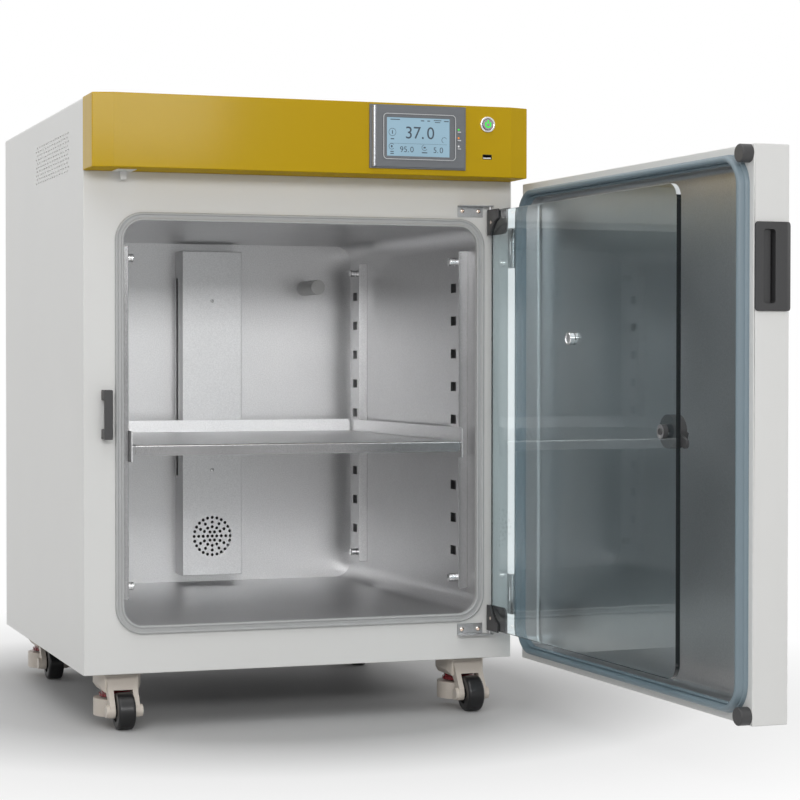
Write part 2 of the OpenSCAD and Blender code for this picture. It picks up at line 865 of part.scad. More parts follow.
rail_t = 1.2;
rail_x = upright_x - seat_gap - rail_t;
rail_rise = 19;
rail_foot = 17;
rail_y = [13, chamber_d - 45];
hook_w = 11;
hook_drop = 8;
shelf_under = shelf_top - shelf_t - seat_gap;
hook_z = first_slot_z + hook_slot * slot_pitch + seat_gap;
hook_tab = 5;
hook_t = 2;

// One rail, drawn for the right, with hooks in slots that start at the given place on an upright
module shelf_rail(slot_place) {
    hook_end = upright_x + upright_t + hook_t;
    box([rail_x, rail_y[0], hook_z], [rail_x + rail_t, rail_y[1], shelf_top + rail_rise]);
    box([rail_x - rail_foot, rail_y[0], shelf_under - rail_t], [rail_x, rail_y[1], shelf_under]);
    for (y0 = upright_y) translate([0, y0 + slot_place + (slot_w - hook_w) / 2, 0]) {
        box([rail_x, 0, hook_z], [hook_end, hook_w, hook_z + hook_tab]);
        box([upright_x + upright_t + seat_gap, 0, hook_z - hook_drop],
            [hook_end, hook_w, hook_z + hook_tab]);
    }
}

module shelf_supports() {
    color(steel) in_cabinet() {
        shelf_rail(slot_y);
        mirror([1, 0, 0]) shelf_rail(upright_w - slot_y - slot_w);
    }
}

shelf_margin = 18;
shelf_cols = floor((shelf_w - 2 * shelf_margin) / perforation_pitch);
shelf_rows = floor((shelf_d - 2 * shelf_margin) / perforation_pitch);

module shelf_plate() {
    difference() {
        translate([-shelf_w / 2, 0]) square([shelf_w, shelf_d]);
        for (i = [0 : shelf_cols], j = [0 : shelf_rows])
            if (j % 2 == 0 || i < shelf_cols)
                translate([(i - shelf_cols / 2 + (j % 2) / 2) * perforation_pitch,
                    shelf_d / 2 + (j - shelf_rows / 2) * perforation_pitch])
                    circle(d = perforation_d);
    }
}

lip_r = 5;

// Front lip with round lower corners, its top edge at height 0
module front_lip() {
    translate([0, -shelf_front_lip / 2]) round_rect(shelf_w, shelf_front_lip, lip_r);
    translate([-shelf_w / 2, -shelf_front_lip + lip_r]) square([shelf_w, shelf_front_lip - lip_r]);
}

module shelf() {
    color(steel) in_cabinet() translate([0, shelf_y, shelf_top - shelf_t]) {
        linear_extrude(shelf_t) shelf_plate();
        translate([0, 0, shelf_t]) along_y(0, shelf_t) front_lip();
        translate([-shelf_w / 2, shelf_d - shelf_t, 0]) cube([shelf_w, shelf_t, shelf_rear_lip + shelf_t]);
    }
}

// Glass door furniture on the face

screw_d = 6.5;
screw_proud = 1.1;

module bracket_arm_plan() {
    arm_front = glass_pivot[1] - arm_r;
    translate([bracket_x, arm_front]) square([glass_pivot_x - bracket_x, -arm_front]);
    translate([glass_pivot_x, glass_pivot[1]]) circle(arm_r);
}

// One bracket on the face with its arm and pivot pin, drawn for the upper corner
module glass_bracket() {
    box([bracket_x, -bracket_t, arm_z - bracket_h], [bracket_x + bracket_w, 0, arm_z]);
    translate([0, 0, arm_z - bracket_t]) linear_extrude(bracket_t) bracket_arm_plan();
    for (x = [bracket_x + 6.5, bracket_x + bracket_w - 7])
        rod_y(x, -bracket_t - screw_proud, arm_z - bracket_h / 2, screw_proud, screw_d);
    translate([glass_pivot_x, glass_pivot[1], arm_z - pin_l]) cylinder(h = pin_l, d = pin_d);
}

module mirrored_low() {
    children();
    translate([0, 0, 2 * chamber_mid_z]) mirror([0, 0, 1]) children();
}

module glass_hinge_brackets() {
    color(steel) in_cabinet() mirrored_low() glass_bracket();
}

module latch_keeper() {
    x0 = keeper_right - keeper_w;
    color(black) in_cabinet() {
        for (z = [keeper_z, keeper_z + keeper_h - keeper_leg])
            box([x0, -keeper_clear, z], [keeper_right, 0, z + keeper_leg]);
        box([x0, -keeper_clear - keeper_bar_t, keeper_z], [keeper_right, -keeper_clear, keeper_z + keeper_h]);
    }
}

// Inner glass door, drawn closed and then swung

glass_r = 20;

module glass_outline() {
    translate([glass_right - glass_w, glass_z]) {
        translate([glass_r, 0]) square([glass_w - glass_r, glass_h]);
        translate([0, glass_r]) square([glass_r, glass_h - 2 * glass_r]);
        for (z = [glass_r, glass_h - glass_r]) translate([glass_r, z]) circle(glass_r);
    }
}

module glass_pane() {
    color(glass_tint) in_cabinet() swung(glass_pivot) difference() {
        along_y(glass_out_y, glass_t) glass_outline();
        rod_y(port_x, glass_out_y - 1, port_z, glass_t + 2, port_d);
        rod_y(latch_x, glass_out_y - 1, latch_z, glass_t + 2, latch_stem_d + 2 * run_gap);
    }
}

clamp_right = glass_pivot_x + 1.8;
clamp_in_w = 36;
clamp_out_w = 54;
clamp_r = 12;
clamp_screw_d = 5;
clamp_screw_proud = 0.8;
clamp_screw_inset = 3.5;
mouth_corner_x = chamber_w / 2 - chamber_r;
mouth_corner_z = chamber_mid_z + chamber_h / 2 - chamber_r;
clamp_clear_r = chamber_r + mouth_gasket_w + 2;

// Inner plate with the hollow that clears the gasket's corner
module clamp_inner() {
    difference() {
        translate([clamp_right - clamp_in_w, clamp_z]) square([clamp_in_w, clamp_h]);
        translate([mouth_corner_x, mouth_corner_z]) circle(clamp_clear_r, $fn = 96);
    }
}

module clamp_outer() {
    difference() {
        translate([clamp_right - clamp_out_w, clamp_z]) square([clamp_out_w, clamp_h]);
        translate([clamp_right - clamp_out_w, clamp_z]) square(clamp_r);
    }
    translate([clamp_right - clamp_out_w + clamp_r, clamp_z + clamp_r]) circle(clamp_r);
}

module clamp() {
    difference() {
        union() {
            along_y(glass_in_y, clamp_in_t) clamp_inner();
            along_y(glass_out_y - clamp_t, clamp_t) clamp_outer();
            translate([glass_right + 0.2, glass_out_y - eps, clamp_z])
                cube([clamp_right - glass_right - 0.2, glass_t + 2 * eps, clamp_h]);
        }
        translate([glass_pivot_x, glass_pivot[1], clamp_z - 1])
            cylinder(h = clamp_h + 2, d = pin_d + 2 * seat_gap);
    }
    rod_y(glass_right - clamp_screw_inset, glass_in_y + clamp_in_t, clamp_z + clamp_h / 2,
        clamp_screw_proud, clamp_screw_d);
}

module glass_hinge_clamps() {
    color(black) in_cabinet() swung(glass_pivot) mirrored_low() clamp();
}

port_flange_d = 17;
port_flange_t = 3;
port_nut_t = 4;
port_l = 15;

module glass_sample_port() {
    color(chrome) in_cabinet() swung(glass_pivot) {
        rod_y(port_x, glass_out_y - port_flange_t, port_z, glass_t + port_flange_t + port_l, port_d - 0.2);
        rod_y(port_x, glass_in_y, port_z, port_nut_t, port_flange_d);
        rod_y(port_x, glass_out_y - port_flange_t, port_z, port_flange_t, port_flange_d);
    }
}

latch_stem_d = 8;
knob_t = 11.5;
grip_w = 9;
grip_t = 5;
latch_nut_t = 8;
latch_nut_d = 17;

module glass_latch_knob() {
    y0 = glass_out_y - 0.5;
    color(black) in_cabinet() swung(glass_pivot)
        translate([latch_x, 0, latch_z]) rotate([0, -latch_park, 0]) {
            along_y(y0 - nose_t, nose_t) {
                translate([-nose_l, -nose_r]) square([nose_l, 2 * nose_r]);
                translate([-nose_l, 0]) circle(nose_r);
            }
            rod_y(0, y0 - knob_t, 0, knob_t, knob_d);
            along_y(y0 - knob_t - grip_t, grip_t) square([knob_d - 10, grip_w], center = true);
            rod_y(0, y0, 0, -y0 + glass_in_y + latch_nut_t, latch_stem_d);
            rod_y(0, glass_in_y + 0.5, 0, latch_nut_t - 1.5, latch_nut_d);
        }
}

// Outer door, drawn closed and then swung

handle_proud = 3;
handle_depth = door_pan_inset - 1;
handle_slot_y = 16;
handle_slot_h = 86;
handle_slot_d = 18;
handle_slot_inset = 11;
handle_r = 4;
handle_z = door_h - handle_drop - handle_h;

module door_shell() {
    color(white) in_cabinet() swung(door_pivot) difference() {
        box([-half_w, door_out_y, 0], [half_w, door_in_y, door_h]);
        box([-half_w + sheet, door_out_y + sheet, sheet], [half_w - sheet, door_in_y - sheet, door_h - sheet]);
        translate([0, 0, door_h / 2]) along_y(door_in_y - sheet - 1, sheet + 2)
            square([door_pan_w + 2 * run_gap, door_pan_h + 2 * run_gap], center = true);
        box([-half_w - 1, door_out_y - 1, handle_z - 0.2],
            [-half_w + handle_depth + 0.2, door_in_y - 0.6, handle_z + handle_h + 0.2]);
    }
}

pan_r = 14;
pan_t = 1;

module door_liner() {
    color(steel) in_cabinet() swung(door_pivot) translate([0, 0, door_h / 2]) {
        along_y(door_in_y - door_pan_depth, pan_t) round_rect(door_pan_w, door_pan_h, pan_r);
        along_y(door_in_y - door_pan_depth + pan_t, door_pan_depth - pan_t)
            round_ring(door_pan_w, door_pan_h, pan_r, pan_t);
    }
}

module door_insulation() {
    m = sheet + 0.1;
    color([0.95, 0.9, 0.7]) in_cabinet() swung(door_pivot) difference() {
        box([-half_w + sheet, door_out_y + sheet, sheet],
            [half_w - sheet, door_in_y - sheet, door_h - sheet]);
        box([-door_pan_w / 2 - 1, door_in_y - door_pan_depth, door_h / 2 - door_pan_h / 2 - 1],
            [door_pan_w / 2 + 1, door_in_y + 1, door_h / 2 + door_pan_h / 2 + 1]);
        box([-half_w - m, door_out_y - 1, handle_z - 1],
            [-half_w + handle_depth + 1, door_in_y + 1, handle_z + handle_h + 1]);
    }
}

door_seal_base = 6;
door_seal_bulb = 7.5;

module door_gasket() {
    w = door_w - 2 * door_gasket_inset;
    h = door_h - 2 * door_gasket_inset;
    color(seal_blue) in_cabinet() swung(door_pivot) translate([0, 0, door_h / 2]) {
        along_y(door_in_y, door_seal_base) round_ring(w, h, door_gasket_r, door_gasket_w);
        along_y(door_in_y + door_seal_base, door_gasket_t - door_seal_base)
            round_ring(w - 4, h - 4, door_gasket_r - 2, door_seal_bulb);
    }
}

module handle_plan() {
    x0 = -half_w - handle_proud;
    y0 = door_out_y - handle_proud;
    polygon([[x0, door_in_y - 1], [x0, y0 + 9], [x0 + 5, y0], [-half_w + handle_depth, y0],
        [-half_w + handle_depth, door_in_y - 1]]);
}

// The corners that are cut off the proud face beside the cabinet, which leaves it with a round edge
module handle_corner_cuts() {
    edge = door_in_y - 1;
    for (end = [0, 1]) translate([edge, handle_z + end * handle_h]) mirror([0, end]) difference() {
        translate([-handle_r, -1]) square(handle_r + 1);
        translate([-handle_r, handle_r]) circle(handle_r);
    }
}

module door_handle() {
    x0 = -half_w - handle_proud;
    color(black) in_cabinet() swung(door_pivot) difference() {
        translate([0, 0, handle_z]) linear_extrude(handle_h) handle_plan();
        along_x(x0 - 1, handle_proud + 1) handle_corner_cuts();
        along_x(x0 - 1, handle_slot_d + 1)
            translate([door_in_y - handle_slot_inset - handle_slot_y / 2, handle_z + handle_h / 2])
                round_rect(handle_slot_y, handle_slot_h, handle_r);
    }
}

module door_buffers() {
    inset = buffer_d / 2 + 0.2;
    color(black) in_cabinet() swung(door_pivot)
        for (z = [inset, door_h - inset])
            rod_y(-half_w + inset, door_in_y, z, door_gasket_t, buffer_d);
}

// Door hinges: outer knuckles and pin on the cabinet, middle knuckle on the door

leaf_t = 2.4;
leaf_l = 30;
knuckle = hinge_h / 3;

module knuckle_at(z, h) {
    translate([door_pivot[0], door_pivot[1], z]) cylinder(h = h, r = hinge_r);
}

module door_hinge_frame_leaves() {
    color(steel) in_cabinet() for (z = hinge_z) {
        difference() {
            box([half_w, 0, z], [half_w + leaf_t, leaf_l, z + hinge_h]);
            for (dz = [12, hinge_h - 12], y = [10, 22])
                rod_x(half_w - 1, y, z + dz, leaf_t + 2, 4.4);
        }
        for (dz = [0, 2 * knuckle]) {
            knuckle_at(z + dz, knuckle - seat_gap * (dz > 0 ? 0 : 1));
            box([half_w, door_pivot[1], z + dz], [half_w + leaf_t, 0, z + dz + knuckle - seat_gap]);
            box([half_w, door_pivot[1] - 1.2, z + dz],
                [door_pivot[0], door_pivot[1] + 1.2, z + dz + knuckle - seat_gap]);
        }
        translate([door_pivot[0], door_pivot[1], z]) cylinder(h = hinge_h, d = hinge_pin_d);
    }
}

module door_hinge_door_leaves() {
    color(steel) in_cabinet() swung(door_pivot) for (z = hinge_z) difference() {
        union() {
            translate([0, 0, knuckle]) knuckle_at(z, knuckle - seat_gap);
            box([half_w, door_in_y - leaf_l, z], [half_w + leaf_t, door_in_y - 0.5, z + hinge_h]);
            box([half_w + 0.2, door_in_y - 2, z + knuckle],
                [door_pivot[0] - 0.4 + hinge_r / 2, door_pivot[1], z + 2 * knuckle - seat_gap]);
        }
        translate([door_pivot[0], door_pivot[1], z - 1])
            cylinder(h = hinge_h + 2, d = hinge_pin_d + 2 * seat_gap);
        for (dz = [12, hinge_h - 12], y = [door_in_y - 10, door_in_y - 22])
            rod_x(half_w - 1, y, z + dz, leaf_t + 2, 4.4);
    }
}

// Levelling castors

CASTORS = [[-1, -1], [1, -1], [-1, 1], [1, 1]];

module at_castor(i) {
    translate([CASTORS[i][0] * castor_x, CASTORS[i][1] * castor_y, 0]) rotate([0, 0, castor_heading])
        children();
}

module castor_plates() {
    hole = castor_plate_w / 2 - 8;
    tube_z = head_bottom + 1;
    color(ivory) for (place = CASTORS) translate([place[0] * castor_x, place[1] * castor_y, 0])
        difference() {
            union() {
                translate([0, 0, castor_h - castor_plate_t]) linear_extrude(castor_plate_t) difference() {
                    round_rect(castor_plate_w, castor_plate_w, 6);
                    for (sx = [-1, 1], sy = [-1, 1]) translate([sx * hole, sy * hole]) circle(d = 7);
                }
                translate([0, 0, tube_z]) cylinder(h = castor_h - castor_plate_t - tube_z, d = kingpin_d);
            }
            translate([0, 0, tube_z - 1]) cylinder(h = castor_h - tube_z, d = stem_d + 2 * run_gap);
        }
}

// Side outline of the fork in the plane of travel (forward = -Y)
module fork_outline() {
    polygon([[-14, head_bottom], [-14, head_top - 4], [-31, head_top - 4], [-castor_trail - 8, axle_z + 8],
        [-castor_trail - 9, axle_z], [-castor_trail + 9, axle_z], [-castor_trail + 10, head_bottom - 9],
        [-24, head_bottom]]);
    translate([-castor_trail, axle_z]) circle(r = 9.5);
}

// Head block round the kingpin, with chamfered corners and lower edges
module fork_head() {
    intersection() {
        translate([0, 0, head_bottom]) linear_extrude(head_h) polygon([[-head_w / 2, 20],
            [-head_w / 2 + 10, 29], [head_w / 2 - 10, 29], [head_w / 2, 20], [head_w / 2, -20],
            [head_w / 2 - 6, -31], [-head_w / 2 + 6, -31], [-head_w / 2, -20]]);
        along_y(-40, 80) polygon([[-head_w / 2, head_top], [-head_w / 2, head_bottom + 8],
            [-head_w / 2 + 6, head_bottom], [head_w / 2 - 6, head_bottom],
            [head_w / 2, head_bottom + 8], [head_w / 2, head_top]]);
        along_x(-40, 80) polygon([[-31, head_top], [-31, head_bottom], [23, head_bottom],
            [29, head_bottom + 8], [29, head_top]]);
    }
}

module castor_fork(i) {
    half = fork_inner + fork_leg_t;
    color(ivory) at_castor(i) {
        difference() {
            union() {
                fork_head();
                along_x(-half, 2 * half) fork_outline();
                rod_x(-half - 4.5, -castor_trail, axle_z, 2 * half + 9, 17);
            }
            translate([0, 0, head_bottom - 1]) cylinder(h = head_h + 2, d = kingpin_d + 2 * run_gap);
            box([-fork_inner, -castor_trail - 40, -1],
                [fork_inner, -castor_trail + wheel_d / 2 + 2, wheel_d + arch_gap]);
        }
        rod_x(-fork_inner - 2, -castor_trail, axle_z, 2 * fork_inner + 4, axle_d);
    }
}

module castor_wheel(i) {
    r = wheel_d / 2;
    w = wheel_w / 2;
    round_r = 4;
    color(black) at_castor(i) translate([0, -castor_trail, axle_z]) rotate([0, 90, 0])
        rotate_extrude($fn = 64) difference() {
            union() {
                translate([axle_d / 2 + run_gap, -w]) square([r - round_r - axle_d / 2 - run_gap, 2 * w]);
                translate([axle_d / 2 + run_gap, -w + round_r])
                    square([r - axle_d / 2 - run_gap, 2 * w - 2 * round_r]);
                for (s = [-1, 1]) translate([r - round_r, s * (w - round_r)]) circle(round_r);
            }
            for (s = [-1, 1]) translate([11, s * w]) square([7, 5], center = true);
        }
}

module levelling_pad(i) {
    color(ivory) at_castor(i) difference() {
        union() {
            translate([0, 0, pad_lift]) cylinder(h = pad_h, d = pad_d, $fn = 64);
            translate([0, 0, pad_lift + pad_h]) cylinder(h = stem_top - pad_lift - pad_h, d = stem_d);
        }
        box([-wheel_w / 2 - 1.5, -castor_trail - wheel_d, pad_lift - 1],
            [wheel_w / 2 + 1.5, -castor_trail + wheel_d / 2 + 2, pad_lift + pad_h + 1]);
    }
}

module pad_adjuster(i) {
    z0 = pad_lift + pad_h + 2;
    h = head_bottom - seat_gap - z0;
    flange = h * 0.5;
    color([0.55, 0.05, 0.08]) at_castor(i) translate([0, 0, z0]) difference() {
        union() {
            cylinder(h = flange, d = adjuster_d);
            cylinder(h = h, d = adjuster_d - 5);
        }
        for (k = [0 : 23]) rotate([0, 0, 15 * k]) translate([adjuster_d / 2, 0, -1])
            cylinder(h = flange + 2, d = 2.4);
        translate([0, 0, -1]) cylinder(h = h + 2, d = stem_d + 2 * run_gap);
    }
}

// Drawing, one line for each node

cabinet_wrap();
front_frame();
base_pan();
rear_panel();
chamber_liner();
insulation();
heating_mats();
chamber_gasket();
control_hood();
display_bezel();
display_screen();
indicator_lamps();
power_button_ring();
power_button_cap();
usb_socket();
door_switch_bracket();
door_switch_lever();
control_board();
power_supply();
gas_valve();
gas_sensor();
power_inlet();
duct_cover();
fan_motor();
fan_impeller();
shelf_uprights();
upright_thumb_nuts();
shelf_supports();
shelf();
glass_hinge_brackets();
latch_keeper();
door_hinge_frame_leaves();
door_hinge_door_leaves();
door_shell();
door_liner();
door_insulation();
door_gasket();
door_handle();
door_buffers();
glass_pane();
glass_hinge_clamps();
glass_sample_port();
glass_latch_knob();
castor_plates();
castor_fork(0);  // castor_fork_fl
castor_fork(1);  // castor_fork_fr
castor_fork(2);  // castor_fork_rl
castor_fork(3);  // castor_fork_rr
castor_wheel(0);  // castor_wheel_fl
castor_wheel(1);  // castor_wheel_fr
castor_wheel(2);  // castor_wheel_rl
castor_wheel(3);  // castor_wheel_rr
levelling_pad(0);  // levelling_pad_fl
levelling_pad(1);  // levelling_pad_fr
levelling_pad(2);  // levelling_pad_rl
levelling_pad(3);  // levelling_pad_rr
pad_adjuster(0);  // pad_adjuster_fl
pad_adjuster(1);  // pad_adjuster_fr
pad_adjuster(2);  // pad_adjuster_rl
pad_adjuster(3);  // pad_adjuster_rr
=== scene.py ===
import json
import math
from collections import Counter
from functools import cache

import bmesh
import bpy
from bpy.props import FloatProperty, FloatVectorProperty, IntProperty, PointerProperty
from mathutils import Euler, Matrix, Vector


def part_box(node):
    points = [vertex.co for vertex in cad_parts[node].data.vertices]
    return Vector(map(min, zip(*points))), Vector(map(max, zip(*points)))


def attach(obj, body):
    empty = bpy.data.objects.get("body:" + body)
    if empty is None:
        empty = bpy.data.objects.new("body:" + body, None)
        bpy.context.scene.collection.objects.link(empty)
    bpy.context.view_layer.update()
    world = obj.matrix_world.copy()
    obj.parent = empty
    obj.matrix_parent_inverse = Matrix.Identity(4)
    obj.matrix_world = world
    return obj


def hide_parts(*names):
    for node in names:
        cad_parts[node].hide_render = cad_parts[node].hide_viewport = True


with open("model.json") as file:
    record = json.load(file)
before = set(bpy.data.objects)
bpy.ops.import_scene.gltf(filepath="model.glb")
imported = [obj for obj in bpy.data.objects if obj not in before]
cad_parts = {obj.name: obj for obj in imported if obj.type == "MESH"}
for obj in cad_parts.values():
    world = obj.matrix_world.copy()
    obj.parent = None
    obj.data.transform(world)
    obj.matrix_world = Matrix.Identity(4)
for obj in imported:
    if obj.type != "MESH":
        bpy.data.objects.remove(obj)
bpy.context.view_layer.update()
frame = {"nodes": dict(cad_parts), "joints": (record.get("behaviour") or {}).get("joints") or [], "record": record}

bl_info = {
    "name": "Laboratory incubator",
    "version": (1, 0, 0),
    "blender": (4, 5, 0),
    "location": "3D View > Sidebar > Incubator",
    "description": "Finishes the cabinet, chamber, doors and castors, and sets the stage",
    "category": "Object",
}

MM = 0.001
WELD = 0.002 * MM  # points closer than this become one point
NEAR = 0.1 * MM  # an edge or a face this close to a plane lies on it
FLAT = 0.4  # degrees between two faces that become one
SHARP = 32  # degrees between two faces whose common edge may be rounded
CREASE = 34  # degrees between two faces whose common edge stays sharp
NODES = frame["nodes"]
BODY_OF = {node: body for body, nodes in frame["record"]["behaviour"]["bodies"].items()
           for node in nodes}
JOINTS = {joint["name"]: joint for joint in frame["joints"]}
MOUNTS = {mount["name"]: Vector(mount["pos_m"]) for mount in frame["record"]["mounts"]}
CORNERS = ("fl", "fr", "rl", "rr")
# turns from Z, along which small turned shapes are made
TO_FRONT, TO_REAR = Euler((math.pi / 2, 0, 0)), Euler((-math.pi / 2, 0, 0))
TO_LEFT, TO_RIGHT = Euler((0, -math.pi / 2, 0)), Euler((0, math.pi / 2, 0))


def on_screen(red, green, blue):
    """A colour as it shows on screen, 0 to 255, in linear values."""
    return tuple(((c / 255 + 0.055) / 1.055) ** 2.4 if c > 10 else c / 255 / 12.92
                 for c in (red, green, blue))


def tone(title, about, colour):
    """A colour that a user may change."""
    return FloatVectorProperty(name=title, description=about, subtype="COLOR", size=3,
                               min=0.0, max=1.0, default=colour)


def length(title, about, size, most=0.1):
    """A length in metres that a user may change."""
    return FloatProperty(name=title, description=about, unit="LENGTH", precision=4,
                         min=0.0, max=most, default=size)


def power(title, about, watts):
    """A light's power that a user may change."""
    return FloatProperty(name=title, description=about, unit="POWER", min=0.0, default=watts)


class IncubatorColours(bpy.types.PropertyGroup):
    """Colours of the main finishes"""

    cabinet: tone("Cabinet paint", "Powder coat on the cabinet and the door",
                  on_screen(229, 229, 227))
    hood: tone("Hood enamel", "Enamel on the control hood", on_screen(193, 158, 6))
    steel: tone("Stainless steel", "Satin steel of the chamber and its furniture",
                (0.70, 0.70, 0.705))
    # Painted shade: the pan is the same stainless as the chamber, toned darker for the darker surroundings it
    # reflects.
    pan: tone("Door pan", "Darker satin steel of the outer door's pan", (0.50, 0.50, 0.505))
    mouth_seal: tone("Mouth seal", "Silicone seal round the chamber's mouth",
                     on_screen(182, 183, 183))
    door_seal: tone("Door seal", "Magnetic seal round the outer door", on_screen(122, 138, 147))
    castor: tone("Castor moulding", "Moulded castor forks, plates and pads",
                 on_screen(214, 205, 194))
    adjuster: tone("Pad adjuster", "Adjusting wheels of the levelling pads",
                   on_screen(128, 16, 26))
    moulding: tone("Dark moulding", "Handle, keeper, latch, buffers and clamps",
                   on_screen(62, 62, 63))
    bezel: tone("Display bezel", "Moulded bezel round the display", on_screen(112, 115, 119))
    screen: tone("Screen", "Lit ground of the display", on_screen(160, 194, 214))
    ink: tone("Screen ink", "Figures on the display", on_screen(46, 56, 66))
    glass: tone("Glass tint", "Tint of the inner door's glass", (0.80, 0.88, 0.90))


class IncubatorSizes(bpy.types.PropertyGroup):
    """Sizes of what this file adds to the solids"""

    fold_radius: length("Fold radius", "Outer radius of folded sheet edges", 1.35 * MM)
    shelf_hole: length("Shelf hole", "Diameter of one shelf perforation", 4.4 * MM)
    shelf_pitch: length("Shelf pitch", "Spacing of the shelf perforations", 7.6 * MM)
    shelf_border: length("Shelf border", "Plain border round the shelf perforations", 9.0 * MM)
    nut_grooves: IntProperty(name="Nut grooves", description="Turned grooves on a thumb nut",
                             min=1, max=6, default=2)
    panel_screw: length("Panel screw", "Head diameter of the rear panel's screws", 7.0 * MM)


class IncubatorStage(bpy.types.PropertyGroup):
    """Brightness of the lights"""

    key_power: power("Key light", "Power of the wide light in front", 36.0)
    fill_power: power("Fill light", "Power of the light high in front", 14.0)
    top_power: power("Top light", "Power of the light above", 26.0)
    back_power: power("Back light", "Power of the light behind on the left", 20.0)
    right_power: power("Right light", "Power of the light on the right", 16.0)
    world_fill: FloatProperty(name="World fill", min=0.0, max=1.0, default=0.42,
                              description="Brightness of the surroundings as a light")


class Value:
    """A socket that takes part in Python arithmetic: each operation adds a Math node."""

    def __init__(self, graph, socket):
        self.graph = graph
        self.socket = socket

    def maths(self, operation, first, second):
        return self.graph.node("ShaderNodeMath", {"operation": operation}, {0: first, 1: second})

    def __add__(self, other):
        return self.maths("ADD", self, other)

    def __sub__(self, other):
        return self.maths("SUBTRACT", self, other)

    def __rsub__(self, other):
        return self.maths("SUBTRACT", other, self)

    def __mul__(self, other):
        return self.maths("MULTIPLY", self, other)

    def __truediv__(self, other):
        return self.maths("DIVIDE", self, other)

    def __mod__(self, other):
        return self.maths("FLOORED_MODULO", self, other)

    def __gt__(self, other):
        return self.maths("GREATER_THAN", self, other)

    __radd__ = __add__
    __rmul__ = __mul__


class Graph:
    """A node tree under construction, for a finish or for a shape."""

    def __init__(self, tree):
        self.tree = tree
        tree.nodes.clear()

    def node(self, kind, settings=None, sockets=None, out=0):
        """Adds a node, sets it up, feeds its sockets and gives one output."""
        made = self.tree.nodes.new(kind)
        for key, value in (settings or {}).items():
            if key == "stops":
                self.set_stops(made.color_ramp, value)
            else:
                setattr(made, key, value)
        for key, value in (sockets or {}).items():
            self.feed(made.inputs[key], value)
        return Value(self, made.outputs[out]) if len(made.outputs) else made

    def feed(self, socket, value):
        """Sets an input to a value or links an output to it; a list links several."""
        for one in value if isinstance(value, list) else [value]:
            if isinstance(one, Value):
                self.tree.links.new(one.socket, socket)
            else:
                socket.default_value = one

    @staticmethod
    def set_stops(ramp, stops):
        """Gives a ramp its stops of (position, level)."""
        while len(ramp.elements) < len(stops):
            ramp.elements.new(0.5)
        for element, (position, level) in zip(ramp.elements, stops):
            element.position = position
            element.color = (level, level, level, 1)


class Finish(Graph):
    """A material under construction, with its pattern on Object coordinates."""

    def __init__(self, **constants):
        self.material = bpy.data.materials.new("finish")
        self.material.use_nodes = True
        super().__init__(self.material.node_tree)
        self.shader = self.tree.nodes.new("ShaderNodeBsdfPrincipled")
        self.end = self.tree.nodes.new("ShaderNodeOutputMaterial")
        self.tree.links.new(self.shader.outputs[0], self.end.inputs["Surface"])
        self.place = self.node("ShaderNodeTexCoord", out="Object")
        for key, value in constants.items():
            self.put(key.replace("_", " ").title().replace("Ior", "IOR"), value)

    def put(self, socket, value):
        """Feeds an input of the main shader with a number, a colour or another node."""
        colour = hasattr(value, "__len__") and len(value) == 3
        self.feed(self.shader.inputs[socket], (*value, 1) if colour else value)

    def grains(self, size, detail=2.0, stretch=(1, 1, 1)):
        """Noise with grains of about the given size, from 0 to 1 round 0.5."""
        place = self.place
        if stretch != (1, 1, 1):
            place = self.node("ShaderNodeMapping", sockets={"Vector": place, "Scale": stretch})
        return self.node("ShaderNodeTexNoise",
                         sockets={"Vector": place, "Scale": 1 / size, "Detail": detail})

    def shades(self, mask, low, high):
        """A colour between two others, where the mask goes from 0 to 1."""
        return self.node("ShaderNodeMix", {"data_type": "RGBA", "clamp_factor": True},
                         {0: mask, 6: (*low, 1), 7: (*high, 1)}, out=2)

    def ramp(self, mask, *stops):
        """A grey between stops of (position, level)."""
        return self.node("ShaderNodeValToRGB", {"stops": stops}, {"Fac": mask})

    def relief(self, height, distance):
        """A bump of the given height in metres."""
        self.put("Normal", self.node("ShaderNodeBump", sockets={
            "Height": height, "Distance": distance, "Strength": 1.0}))

    def blend(self, mask, other):
        """Shows another shader in place of the main one where the mask is 1."""
        both = self.node("ShaderNodeMixShader", sockets={
            0: mask, 1: Value(self, self.shader.outputs[0]), 2: other})
        self.feed(self.end.inputs["Surface"], both)


def scaled(colour, factor):
    return tuple(c * factor for c in colour)


def colours():
    return bpy.context.scene.incubator_colours


def sizes():
    return bpy.context.scene.incubator_sizes


def finish(make):
    """Makes a finish once, under its function's name, and gives that material from then on."""
    @cache
    def once():
        material = make().material
        material.name = make.__name__
        return material
    return once


def mottled(colour, spread, roughness, grain, relief, **constants):
    """A moulded or painted finish: slow drift of tone, fine surface grain and uneven gloss."""
    look = Finish(**constants)
    drift = look.grains(160 * MM, detail=3)
    fine = look.grains(grain)
    look.put("Base Color", look.shades(drift * 0.7 + fine * 0.3, scaled(colour, 1 - spread),
                                       scaled(colour, 1 + spread)))
    look.put("Roughness", roughness - 0.04 + look.grains(grain * 6) * 0.08)
    look.relief(fine, relief)
    return look


@finish
def powder_coat():
    return mottled(colours().cabinet, 0.025, 0.46, 1.3 * MM, 0.02 * MM,
                   specular_ior_level=0.3)


@finish
def hood_enamel():
    """Enamel with a thin clear coat."""
    return mottled(colours().hood, 0.04, 0.40, 1.1 * MM, 0.014 * MM, specular_ior_level=0.06,
                   coat_weight=0.3, coat_roughness=0.12)


@finish
def hood_underside():
    """The same enamel without its clear coat."""
    return mottled(colours().hood, 0.04, 0.55, 1.1 * MM, 0.014 * MM, specular_ior_level=0.04)


